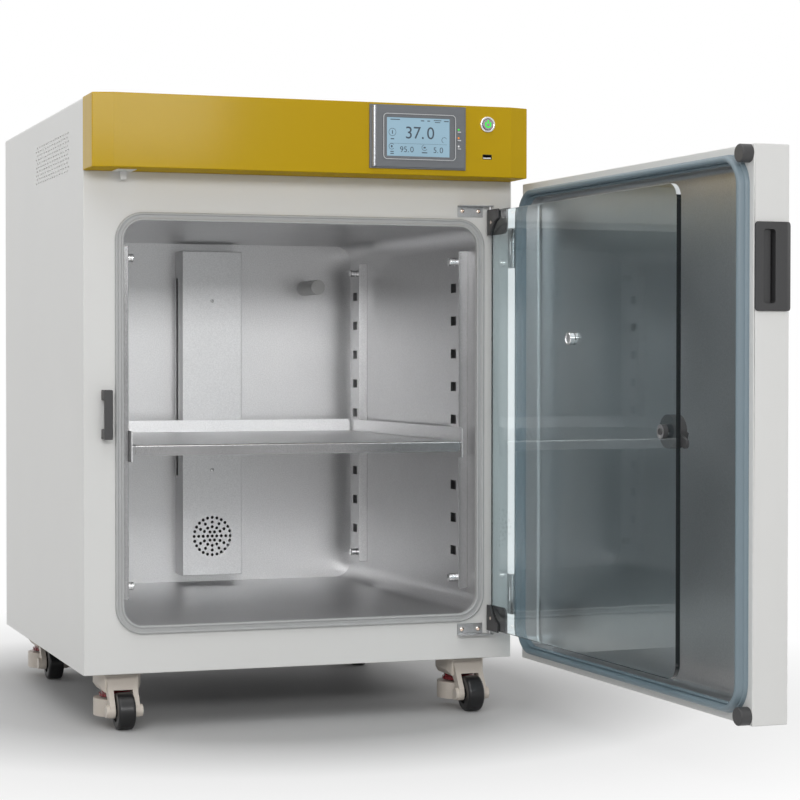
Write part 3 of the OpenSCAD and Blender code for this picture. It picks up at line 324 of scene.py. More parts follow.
def blasted_sheet(steel, gloss):
    """Bead-blasted stainless sheet: fine speckle, slow clouds of gloss."""
    look = Finish(metallic=1.0)
    speckle = look.grains(1.7 * MM, detail=3)
    clouds = look.grains(90 * MM, detail=4)
    look.put("Base Color", look.shades(speckle * 0.75 + clouds * 0.25, scaled(steel, 0.72),
                                       scaled(steel, 1.24)))
    look.put("Roughness", gloss - 0.08 + clouds * 0.10 + speckle * 0.06)
    look.relief(speckle, 0.016 * MM)
    return look


@finish
def satin_steel():
    return blasted_sheet(colours().steel, 0.40)


@finish
def button_face():
    return blasted_sheet((0.36, 0.34, 0.35), 0.36)


@finish
def warm_screw():
    """Zinc-plated screw heads with a faint copper cast."""
    look = Finish(metallic=1.0)
    smears = look.grains(3 * MM, detail=3)
    look.put("Base Color", look.shades(smears, (0.62, 0.50, 0.42), (0.82, 0.73, 0.66)))
    look.put("Roughness", 0.16 + smears * 0.12)
    return look


# Painted shade: steel much darker than the chamber's, for the shelf's front lip and the uprights' front flanges;
# it is also smoother.
@finish
def lip_steel():
    return blasted_sheet(scaled(colours().pan, 0.72), 0.24)


# Painted highlight: steel brighter than the chamber's, for the shelf's rear lip.
@finish
def bright_lip_steel():
    return blasted_sheet(scaled(colours().steel, 1.28), 0.38)


# Painted shade: the chamber's stainless toned darker, for the door pan and the glass door's hinge brackets.
@finish
def pan_steel():
    return blasted_sheet(colours().pan, 0.32)


@finish
def brushed_steel():
    """Bright sheet with a fine rolled grain, for brackets, hinges and hardware."""
    look = Finish(metallic=1.0)
    lines = look.grains(0.5 * MM, detail=3, stretch=(1, 1, 0.06))
    look.put("Base Color", look.shades(lines, (0.50, 0.50, 0.51), (0.72, 0.72, 0.72)))
    look.put("Roughness", 0.20 + lines * 0.14)
    look.relief(lines, 0.008 * MM)
    return look


@finish
def bright_chrome():
    look = Finish(metallic=1.0)
    smears = look.grains(9 * MM, detail=4)
    look.put("Base Color", look.shades(smears, (0.74, 0.74, 0.75), (0.86, 0.86, 0.86)))
    look.put("Roughness", 0.06 + smears * 0.10)
    return look


@finish
def dark_moulding():
    return mottled(colours().moulding, 0.09, 0.46, 0.7 * MM, 0.03 * MM)


@finish
def dark_glass_edge():
    """Polished rim of the glass, near black as painted shade."""
    return mottled((0.012, 0.014, 0.015), 0.2, 0.20, 2 * MM, 0.004 * MM)


@finish
def ground_edge():
    """Top edge of the glass, pale as a painted highlight."""
    return mottled((0.62, 0.65, 0.66), 0.1, 0.35, 1.5 * MM, 0.004 * MM)


@finish
def mouth_silicone():
    return mottled(colours().mouth_seal, 0.04, 0.44, 0.9 * MM, 0.012 * MM)


@finish
def door_seal_vinyl():
    return mottled(colours().door_seal, 0.05, 0.40, 0.9 * MM, 0.012 * MM)


@finish
def tyre_rubber():
    return mottled((0.011, 0.011, 0.012), 0.25, 0.30, 0.9 * MM, 0.02 * MM)


@finish
def castor_moulding():
    return mottled(colours().castor, 0.05, 0.42, 1.0 * MM, 0.025 * MM)


@finish
def adjuster_moulding():
    return mottled(colours().adjuster, 0.12, 0.24, 1.2 * MM, 0.01 * MM, coat_weight=0.4)


@finish
def pale_moulding():
    return mottled((0.80, 0.80, 0.79), 0.05, 0.36, 0.8 * MM, 0.015 * MM)


@finish
def probe_moulding():
    return mottled((0.62, 0.62, 0.61), 0.05, 0.36, 0.8 * MM, 0.015 * MM)


@finish
def bezel_moulding():
    """Moulded bezel with a faint brushed grain across."""
    look = Finish()
    lines = look.grains(0.7 * MM, stretch=(0.05, 1, 1))
    bezel = colours().bezel
    look.put("Base Color", look.shades(lines, scaled(bezel, 0.86), scaled(bezel, 1.12)))
    look.put("Roughness", 0.30 + lines * 0.12)
    look.relief(lines, 0.01 * MM)
    return look


@finish
def bezel_gloss():
    return mottled((0.36, 0.37, 0.39), 0.05, 0.22, 3 * MM, 0.004 * MM, metallic=0.7)


@finish
def lit_screen():
    """Backlit panel: unevenly bright in slow patches, with the faint rows of its pixels."""
    look = Finish(base_color=(0.02, 0.03, 0.03), emission_strength=0.78)
    rows = look.grains(0.35 * MM, detail=0, stretch=(0.02, 1, 1))
    glow = look.grains(60 * MM, detail=1)
    screen = colours().screen
    look.put("Emission Color", look.shades(glow * 0.8 + rows * 0.2, scaled(screen, 0.90),
                                           scaled(screen, 1.10)))
    look.put("Roughness", 0.16 + glow * 0.06)
    return look


def ink_of(colour, glow=0.0):
    """Printed ink or a small lamp, which may glow."""
    look = Finish(emission_strength=glow)
    patches = look.grains(1.5 * MM)
    shade = look.shades(patches, scaled(colour, 0.9), scaled(colour, 1.1))
    look.put("Base Color", shade)
    look.put("Emission Color", shade)
    look.put("Roughness", 0.4 + patches * 0.1)
    return look


@finish
def screen_ink():
    return ink_of(colours().ink, 0.6)


@finish
def pale_print():
    return ink_of((0.62, 0.63, 0.64))


@finish
def lamp_green():
    return ink_of(on_screen(40, 205, 50), 0.7)


@finish
def lamp_orange():
    return ink_of(on_screen(225, 135, 30), 0.5)


@finish
def lamp_white():
    return ink_of(on_screen(220, 220, 220), 0.4)


@finish
def socket_dark():
    return mottled((0.010, 0.010, 0.014), 0.2, 0.35, 1 * MM, 0.01 * MM)


@finish
def socket_tongue():
    return mottled((0.80, 0.80, 0.80), 0.04, 0.40, 1 * MM, 0.01 * MM)


@finish
def tinted_glass():
    """Clear sheet with a cool tint; light falls through it without a black shadow."""
    tint = colours().glass
    look = Finish(transmission_weight=1.0, ior=1.5, base_color=tint)
    look.put("Roughness", look.grains(120 * MM, detail=3) * 0.012)
    clear = look.node("ShaderNodeBsdfTransparent", sockets={"Color": (*scaled(tint, 0.97), 1)})
    look.blend(look.node("ShaderNodeLightPath", out="Is Shadow Ray"), clear)
    return look


@finish
def wool_foam():
    return mottled((0.72, 0.62, 0.36), 0.12, 0.85, 6 * MM, 0.8 * MM)


@finish
def zinc_sheet():
    """Galvanised underside of the base, with cloudy spangle, toned darker than bare zinc as painted shade under
    the cabinet.
    """
    return mottled((0.16, 0.16, 0.165), 0.3, 0.45, 14 * MM, 0.02 * MM)


@finish
def filter_fleece():
    return mottled((0.86, 0.86, 0.85), 0.04, 0.85, 1.2 * MM, 0.1 * MM)


@finish
def heater_silicone():
    """Orange silicone mat with the zigzag of its heating wire showing through."""
    look = Finish(roughness=0.55)
    weave = look.node("ShaderNodeTexWave", {"wave_type": "BANDS", "bands_direction": "Z"},
                      {"Vector": look.place, "Scale": 22.0, "Distortion": 1.5})
    look.put("Base Color", look.shades(weave, (0.33, 0.07, 0.03), (0.48, 0.13, 0.06)))
    look.relief(weave, 0.3 * MM)
    return look


@finish
def circuit_lacquer():
    return mottled((0.02, 0.14, 0.06), 0.2, 0.30, 3 * MM, 0.02 * MM)


@finish
def turned_brass():
    look = Finish(metallic=1.0)
    rings = look.grains(0.6 * MM, stretch=(0.1, 1, 0.1))
    look.put("Base Color", look.shades(rings, (0.60, 0.42, 0.16), (0.75, 0.55, 0.24)))
    look.put("Roughness", 0.24 + rings * 0.12)
    return look


def seen_rays(graph):
    """One for rays from the camera and for those that metal and glass send on, else zero."""
    rays = graph.tree.nodes.new("ShaderNodeLightPath")
    camera, glossy, through = (Value(graph, rays.outputs["Is " + kind + " Ray"])
                               for kind in ("Camera", "Glossy", "Transmission"))
    return camera + glossy + through > 0.5


@finish
def floor_paper():
    """Pale paper that fades to white away from the cabinet and keeps its shadow."""
    look = Finish(specular_ior_level=0.15)
    away = look.node("ShaderNodeVectorMath", {"operation": "DISTANCE"}, {0: look.place}, "Value")
    fade = look.ramp(away / 2.0, (0.22, 0.0), (0.29, 0.35), (0.35, 0.7), (0.45, 0.85), (0.56, 1.0))
    look.put("Base Color", look.shades(look.grains(0.7), (0.54, 0.54, 0.54), (0.57, 0.57, 0.57)))
    look.put("Roughness", 0.55 + look.grains(0.02) * 0.1)
    look.blend(seen_rays(look) * fade, look.node("ShaderNodeEmission"))
    return look


def link(piece):
    """Puts an object into the scene."""
    bpy.context.scene.collection.objects.link(piece)
    return piece


def merged(node):
    """The node's own shape as welded, planar faces."""
    shape = bmesh.new()
    shape.from_mesh(NODES[node].data)
    bmesh.ops.remove_doubles(shape, verts=shape.verts, dist=WELD)
    bmesh.ops.dissolve_degenerate(shape, dist=WELD / 2, edges=shape.edges)
    bmesh.ops.dissolve_limit(shape, angle_limit=math.radians(FLAT), verts=shape.verts,
                             edges=shape.edges)
    return shape


def round_edges(shape, radius, where, steps=3):
    """Rounds the sharp edges that a test accepts."""
    chosen = [edge for edge in shape.edges if len(edge.link_faces) == 2
              and edge.calc_face_angle(0) > math.radians(SHARP) and where(edge)]
    if chosen:
        bmesh.ops.bevel(shape, geom=chosen, offset=radius, offset_type="OFFSET", segments=steps,
                        profile=0.5, affect="EDGES", clamp_overlap=True)


def piece_of(name, shape, body, looks, stands_for=(), choose=None, smooth=True,
             crease=CREASE):
    """Turns a shape into a finished piece that rides on a body."""
    mesh = bpy.data.meshes.new(name)
    if choose:
        for face in shape.faces:
            face.material_index = choose(face)
    shape.normal_update()
    for face in shape.faces:
        face.smooth = smooth
    for edge in shape.edges:
        edge.smooth = edge.calc_face_angle(0) < math.radians(crease)
    shape.to_mesh(mesh)
    shape.free()
    for look in looks:
        mesh.materials.append(look)
    piece = link(bpy.data.objects.new(name, mesh))
    if smooth:
        settle_normals(piece)
    return seat(piece, body, stands_for)


def settle_normals(piece):
    """Keeps flat faces flat to the eye beside their rounded edges."""
    weigh = piece.modifiers.new("weigh", "WEIGHTED_NORMAL")
    weigh.keep_sharp = True
    weigh.weight = 80
    piece.data = bake(piece)
    piece.modifiers.clear()


def bake(piece):
    """The piece's mesh with its modifiers worked in."""
    view = bpy.context.evaluated_depsgraph_get()
    return bpy.data.meshes.new_from_object(piece.evaluated_get(view), depsgraph=view)


def seat(piece, body, stands_for=()):
    """Lets a piece ride on a body and the nodes it stands for."""
    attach(piece, body)
    if stands_for:
        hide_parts(*stands_for)
    return piece


def anywhere(edge):
    return True


def nowhere(edge):
    return False


def middle(edge):
    return (edge.verts[0].co + edge.verts[1].co) / 2


def longer(size):
    """A test for edges longer than a size."""
    return lambda edge: edge.calc_length() > size


def in_front(node, size=0.0):
    """A test for the edges on a node's front, longer than a size."""
    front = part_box(node)[0].y
    return lambda edge: middle(edge).y < front + NEAR and edge.calc_length() > size


def raised(size=0.0):
    """A test for outward edges, longer than a size."""
    return lambda edge: edge.is_convex and edge.calc_length() > size


def faces_down(face):
    return int(face.normal.z < -0.5)


def soften(node, looks, radius, where=anywhere, steps=3, choose=None, crease=CREASE):
    """A node's own shape with rounded edges, in its finish or finishes, in the node's place."""
    shape = merged(node)
    for size, test in radius if isinstance(radius, list) else [(radius, where)]:
        round_edges(shape, size, test, steps)
    looks = looks if isinstance(looks, list) else [looks]
    return piece_of(node + "_finished", shape, BODY_OF[node], looks, [node], choose,
                    crease=crease)


def coat(node, look):
    """Gives a node that keeps its own shape a finish."""
    for place in NODES[node].material_slots:
        place.material = look


def shape_tree(name, *inputs):
    """A geometry tree with named inputs: its graph, the inputs and a function that ends it."""
    tree = bpy.data.node_groups.new(name, "GeometryNodeTree")
    graph = Graph(tree)
    tree.interface.new_socket("Geometry", in_out="INPUT", socket_type="NodeSocketGeometry")
    tree.interface.new_socket("Geometry", in_out="OUTPUT", socket_type="NodeSocketGeometry")
    for title, kind in inputs + (("Finish", "Material"),):
        tree.interface.new_socket(title, in_out="INPUT", socket_type="NodeSocket" + kind)
    entry = tree.nodes.new("NodeGroupInput")
    given = {socket.name: Value(graph, socket) for socket in entry.outputs if socket.name}

    def finish_with(geometry):
        solid = graph.node("GeometryNodeRealizeInstances", sockets={"Geometry": geometry})
        dressed = graph.node("GeometryNodeSetMaterial", sockets={
            "Geometry": solid, "Material": given["Finish"]})
        graph.node("NodeGroupOutput", sockets={"Geometry": dressed})
        return tree
    return graph, given, finish_with


def grown(name, tree, inputs, start=None):
    """Runs a geometry tree and gives the result as a plain mesh object."""
    piece = bpy.data.objects.new(name, start or bpy.data.meshes.new(name))
    shaping = piece.modifiers.new("shape", "NODES")
    shaping.node_group = tree
    for item in tree.interface.items_tree:
        if item.item_type == "SOCKET" and item.in_out == "INPUT" and item.name in inputs:
            shaping[item.identifier] = inputs[item.name]
    link(piece)
    piece.data = bake(piece)
    piece.modifiers.clear()
    return piece


def helper_mesh(name, points, faces=()):
    mesh = bpy.data.meshes.new(name)
    mesh.from_pydata(points, [], faces)
    return mesh


def discard(piece):
    bpy.data.objects.remove(piece)


@cache
def sweep_tree():
    """A profile swept round a rectangle with round corners, in the plane of X and Z."""
    graph, given, finish_with = shape_tree(
        "seal_sweep", ("Width", "Float"), ("Height", "Float"), ("Corner radius", "Float"),
        ("Corner steps", "Int"), ("Profile", "Object"))
    path = graph.node("GeometryNodeCurvePrimitiveQuadrilateral", sockets={
        "Width": given["Width"], "Height": given["Height"]})
    path = graph.node("GeometryNodeFilletCurve", {"mode": "POLY"}, {
        "Curve": path, "Radius": given["Corner radius"], "Count": given["Corner steps"]})
    path = graph.node("GeometryNodeSetCurveNormal", {"mode": "Z_UP"}, {"Curve": path})
    profile = graph.node("GeometryNodeObjectInfo", sockets={"Object": given["Profile"]},
                         out="Geometry")
    band = graph.node("GeometryNodeCurveToMesh", sockets={
        "Curve": path, "Profile Curve": profile})
    return finish_with(graph.node("GeometryNodeTransform", sockets={
        "Geometry": band, "Rotation": (math.radians(90), 0, 0)}))


def swept_ring(name, outline, width, height, radius, look, place, steps=12, crease=50):
    """A closed profile of (inwards, proud) points round a rectangle on a face."""
    curve = bpy.data.curves.new(name + "_profile", "CURVE")
    curve.dimensions = "2D"
    line = curve.splines.new("POLY")
    line.points.add(len(outline) - 1)
    for point, (inwards, proud) in zip(line.points, outline):
        point.co = (-inwards, -proud, 0, 1)
    line.use_cyclic_u = True
    profile = link(bpy.data.objects.new(name + "_profile", curve))
    piece = grown(name, sweep_tree(), {"Width": width, "Height": height, "Corner radius": radius,
                                       "Corner steps": steps, "Profile": profile, "Finish": look})
    discard(profile)
    shape = bmesh.new()
    shape.from_mesh(piece.data)
    bmesh.ops.remove_doubles(shape, verts=shape.verts, dist=WELD)
    bmesh.ops.recalc_face_normals(shape, faces=shape.faces)
    for face in shape.faces:
        face.smooth = True
    shape.transform(place)
    shape.to_mesh(piece.data)
    shape.free()
    piece.data.set_sharp_from_angle(angle=math.radians(crease))
    return piece


@cache
def spread_tree():
    """Copies of one small shape on the points of a mesh, all turned the same way."""
    graph, given, finish_with = shape_tree("spread_copies", ("Shape", "Object"),
                                           ("Turn", "Rotation"))
    shape = graph.node("GeometryNodeObjectInfo", sockets={"Object": given["Shape"]},
                       out="Geometry")
    return finish_with(graph.node("GeometryNodeInstanceOnPoints", sockets={
        "Points": given["Geometry"], "Instance": shape, "Rotation": given["Turn"]}))


def spread(name, shape, points, turn, look):
    """One mesh with a copy of a small shape at each point."""
    small = link(bpy.data.objects.new(name + "_one", shape))
    piece = grown(name, spread_tree(), {"Shape": small, "Turn": turn, "Finish": look},
                  helper_mesh(name, points))
    discard(small)
    for face in piece.data.polygons:
        face.use_smooth = True
    piece.data.set_sharp_from_angle(angle=math.radians(CREASE))
    return piece


def turned(name, outline, steps=24):
    """A solid of revolution round Z from (radius, height) points that start and end on the axis."""
    shape = bmesh.new()
    ring = [shape.verts.new((radius, 0, height)) for radius, height in outline]
    edges = [shape.edges.new(pair) for pair in zip(ring, ring[1:])]
    bmesh.ops.spin(shape, geom=ring + edges, cent=(0, 0, 0), axis=(0, 0, 1), dvec=(0, 0, 0),
                   angle=2 * math.pi, steps=steps, use_merge=True)
    bmesh.ops.remove_doubles(shape, verts=shape.verts, dist=WELD / 2)
    bmesh.ops.recalc_face_normals(shape, faces=shape.faces)
    mesh = bpy.data.meshes.new(name)
    shape.to_mesh(mesh)
    shape.free()
    return mesh


def stretched(outline, wide, tall):
    """An outline given in parts of its width and its height."""
    return [(across * wide, up * tall) for across, up in outline]


def pan_screw(head):
    """A domed screw head with a round recess, its seat at the origin and its head along Z."""
    outline = ((0, 0), (1, 0), (1, 0.35), (0.86, 0.75), (0.5, 1), (0.42, 1), (0.16, 0.55), (0, 0.5))
    return turned("pan_screw", stretched(outline, head / 2, 0.36 * head), 16)


def box_at(node, joint=None):
    """A node's lowest and highest corner, with its door shut where a joint is named."""
    if joint is None:
        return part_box(node)
    back = shut_to_open(joint).inverted()
    points = [back @ v.co for v in NODES[node].data.vertices]
    return (Vector(map(min, zip(*points))), Vector(map(max, zip(*points))))


def shut_to_open(joint):
    """From a door's shut place to the place where it stands open."""
    hinge = JOINTS[joint]
    centre = Vector(hinge["pos_m"])
    turn = Matrix.Rotation(math.radians(-hinge["range_deg"][0]), 4, Vector(hinge["axis"]))
    return Matrix.Translation(centre) @ turn @ Matrix.Translation(-centre)


def rounded(width, height, radius, steps=6):
    """Points of a rectangle with round corners, centred."""
    points = []
    for quarter, (sx, sy) in enumerate(((1, 1), (-1, 1), (-1, -1), (1, -1))):
        for step in range(steps + 1):
            angle = math.pi / 2 * (quarter + step / steps)
            points.append((sx * (width / 2 - radius) + radius * math.cos(angle),
                           sy * (height / 2 - radius) + radius * math.sin(angle)))
    return points


def drawn_out(outline, way):
    """A solid from the points of a flat outline, drawn out along a vector."""
    shape = bmesh.new()
    face = shape.faces.new([shape.verts.new(point) for point in outline])
    made = bmesh.ops.extrude_face_region(shape, geom=[face])["geom"]
    ends = [part for part in made if isinstance(part, bmesh.types.BMVert)]
    bmesh.ops.translate(shape, vec=way, verts=ends)
    bmesh.ops.recalc_face_normals(shape, faces=shape.faces)
    return shape


def plate(outline, thick, place):
    """A flat plate from an outline in X and Z, thick towards +Y, then put in place."""
    shape = drawn_out([(x, 0, z) for x, z in outline], (0, thick, 0))
    shape.transform(place)
    return shape


def joined(*shapes):
    """One shape out of several."""
    whole = bmesh.new()
    for shape in shapes:
        part = bpy.data.meshes.new("part")
        shape.to_mesh(part)
        shape.free()
        whole.from_mesh(part)
        bpy.data.meshes.remove(part)
    return whole


def arc_band(radius, band, start, stop, thick, place, steps=28):
    """A flat arc, in degrees from +X, in the plane of X and Z."""
    outer, inner = [], []
    for step in range(steps + 1):
        angle = math.radians(start + (stop - start) * step / steps)
        outer.append((radius * math.cos(angle), radius * math.sin(angle)))
        inner.append(((radius - band) * math.cos(angle), (radius - band) * math.sin(angle)))
    shapes = []
    for step in range(steps):
        corners = [outer[step], outer[step + 1], inner[step + 1], inner[step]]
        shapes.append(plate(corners, thick, place))
    whole = joined(*shapes)
    bmesh.ops.remove_doubles(whole, verts=whole.verts, dist=WELD)
    return whole


def figures(text, height, thick, place):
    """Plain figures as a mesh, centred on the origin and then put in place."""
    part_of_size = 0.72  # a figure's height in parts of the font's size
    curve = bpy.data.curves.new("figures", "FONT")
    curve.body = text
    curve.size = height / part_of_size
    curve.align_x = "CENTER"
    curve.align_y = "CENTER"
    curve.space_word = 0.45
    curve.extrude = thick / 2
    words = link(bpy.data.objects.new("figures", curve))
    mesh = bake(words)
    shape = bmesh.new()
    shape.from_mesh(mesh)
    discard(words)
    bpy.data.meshes.remove(mesh)
    bmesh.ops.remove_doubles(shape, verts=shape.verts, dist=WELD)
    shape.transform(place @ Matrix.Rotation(math.radians(90), 4, "X"))
    return shape


class Piece:
    """What every operator of this file shares."""

    bl_options = {"REGISTER", "UNDO"}

    def execute(self, context):
        self.make()
        return {"FINISHED"}


class INCUBATOR_OT_stage(Piece, bpy.types.Operator):
    """Sets the floor, the lights, the surroundings and the camera"""

    bl_idname = "incubator.stage"
    bl_label = "Stage"

    def make(self):
        self.floor()
        self.surroundings()
        self.lights()
        self.camera()

    def floor(self):
        """A sheet of paper, wide enough to reach out of sight."""
        half = 9.0
        corners = [(-half, -half, 0), (half, -half, 0), (half, half, 0), (-half, half, 0)]
        mesh = helper_mesh("floor", corners, [(0, 1, 2, 3)])
        mesh.materials.append(floor_paper())
        link(bpy.data.objects.new("floor", mesh))

    def surroundings(self):
        """White to the camera, greyer low in front to metal and glass, a plain fill to the rest."""
        world = bpy.data.worlds.new("surroundings")
        world.use_nodes = True
        bpy.context.scene.world = world
        graph = Graph(world.node_tree)
        seen = seen_rays(graph)
        white = (1, 1, 1, 1)
        fill = graph.node("ShaderNodeBackground", sockets={
            "Color": white, "Strength": bpy.context.scene.incubator_stage.world_fill})
        # The grey grows towards the front and ends a little above the horizon.
        way = graph.node("ShaderNodeTexCoord", out="Generated")
        front = graph.node("ShaderNodeSeparateXYZ", sockets={0: way}, out="Y") * -1.6
        low = 1.5 - graph.node("ShaderNodeSeparateXYZ", sockets={0: way}, out="Z") * 10.0
        shade = (graph.node("ShaderNodeClamp", sockets={0: front})
                 * graph.node("ShaderNodeClamp", sockets={0: low}))
        straight = graph.node("ShaderNodeLightPath", out="Is Camera Ray")
        room = graph.node("ShaderNodeBackground", sockets={
            "Color": white, "Strength": 1.0 - shade * (1.0 - straight) * 0.7})
        both = graph.node("ShaderNodeMixShader", sockets={0: seen, 1: fill, 2: room})
        graph.node("ShaderNodeOutputWorld", sockets={"Surface": both})

    def lights(self):
        """Soft lights in front, high in front, above, behind and on the right."""
        stage = bpy.context.scene.incubator_stage
        self.soft_light("key_light", (-0.65, -3.5, 1.36), (3.0, 0.5), stage.key_power)
        self.soft_light("fill_light", (-0.9, -2.2, 3.0), (2.0, 2.0), stage.fill_power)
        self.soft_light("top_light", (-0.6, -0.2, 3.2), (2.6, 2.6), stage.top_power)
        self.soft_light("back_light", (-2.6, 2.4, 1.9), (2.0, 2.0), stage.back_power)
        self.soft_light("right_light", (3.1, 0.5, 1.9), (2.0, 2.0), stage.right_power)

    def soft_light(self, name, spot, size, power):
        """A wide light that is turned towards the chamber."""
        lamp = bpy.data.lights.new(name, "AREA")
        lamp.shape = "RECTANGLE"
        lamp.size, lamp.size_y = size
        lamp.energy = power
        light = link(bpy.data.objects.new(name, lamp))
        light.location = spot
        chamber = Vector((0, -0.2, 0.4))
        light.rotation_euler = (chamber - Vector(spot)).to_track_quat("-Z", "Y").to_euler()

    def camera(self):
        """Stands where the photo was taken, as worked out from the straight edges in it."""
        looks_down, looks_right = 0.962, 18.012
        lens = bpy.data.cameras.new("photo_camera")
        lens.sensor_width, lens.lens = 36, 96.67
        lens.shift_x, lens.shift_y = 0.1068, -0.0038
        camera = link(bpy.data.objects.new("photo_camera", lens))
        camera.location = (-0.90487, -3.12990, 0.49895)
        camera.rotation_euler = Euler((math.radians(90 - looks_down), 0,
                                       math.radians(-looks_right)))
        bpy.context.scene.camera = camera
        bpy.context.scene.view_settings.view_transform = "Standard"


class INCUBATOR_OT_cabinet_shell(Piece, bpy.types.Operator):
    """Paints the wrap, the face, the base and the rear panel, with rounded folds"""

    bl_idname = "incubator.cabinet_shell"
    bl_label = "Cabinet shell"

    def make(self):
        fold = sizes().fold_radius
        low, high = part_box("cabinet_wrap")

        def outer_fold(edge):
            at = middle(edge)
            outside = abs(abs(at.x) - high.x) < NEAR or abs(at.z - high.z) < NEAR
            return outside and edge.calc_length() > 0.3

        soften("cabinet_wrap", powder_coat(), fold, outer_fold)
        soften("front_frame", powder_coat(), fold, in_front("front_frame", 0.5))
        # The base's underside takes a dark tone that is partly painted shade under the cabinet.
        soften("base_pan", [powder_coat(), zinc_sheet()], 0.5 * MM, longer(0.5),
               choose=faces_down)
        soften("rear_panel", powder_coat(), 0.5 * MM, longer(0.5))
        self.vent_filters(low, high)

    def vent_filters(self, low, high):
        """Pale filter fleece close behind the vent slots of both sides."""
        wrap = merged("cabinet_wrap")
        from_ends, from_top, reach = 30 * MM, 15 * MM, 200 * MM
        slots = [v.co.copy() for v in wrap.verts if abs(v.co.x - high.x) < NEAR
                 and low.y + from_ends < v.co.y < high.y - from_ends
                 and high.z - reach < v.co.z < high.z - from_top]
        wrap.free()
        first, last = Vector(map(min, zip(*slots))), Vector(map(max, zip(*slots)))
        mid = (first + last) / 2
        overlap, thick, depth = 14 * MM, 1 * MM, high.x - 1.4 * MM
        outline = rounded(last.y - first.y + overlap, last.z - first.z + overlap, 5 * MM)
        sheets = [plate(outline, thick, Matrix.Translation((side * depth, mid.y, mid.z))
                        @ Matrix.Rotation(side * math.pi / 2, 4, "Z")) for side in (1, -1)]
        piece_of("vent_filters", joined(*sheets), "cabinet", [filter_fleece()])


class INCUBATOR_OT_control_hood(Piece, bpy.types.Operator):
    """Enamels the control hood and rounds its folds"""

    bl_idname = "incubator.control_hood"
    bl_label = "Control hood"

    def make(self):
        low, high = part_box("control_hood")

        def fold(edge):
            at = middle(edge)
            gaps = (at.z - low.z, at.z - high.z, at.y - low.y, abs(at.x) - high.x)
            return (any(abs(gap) < NEAR for gap in gaps) and edge.is_convex
                    and edge.calc_length() > 25 * MM and at.y < high.y - 1 * MM)

        soften("control_hood", [hood_enamel(), hood_underside()],
               sizes().fold_radius, fold, steps=4, choose=faces_down, crease=14)


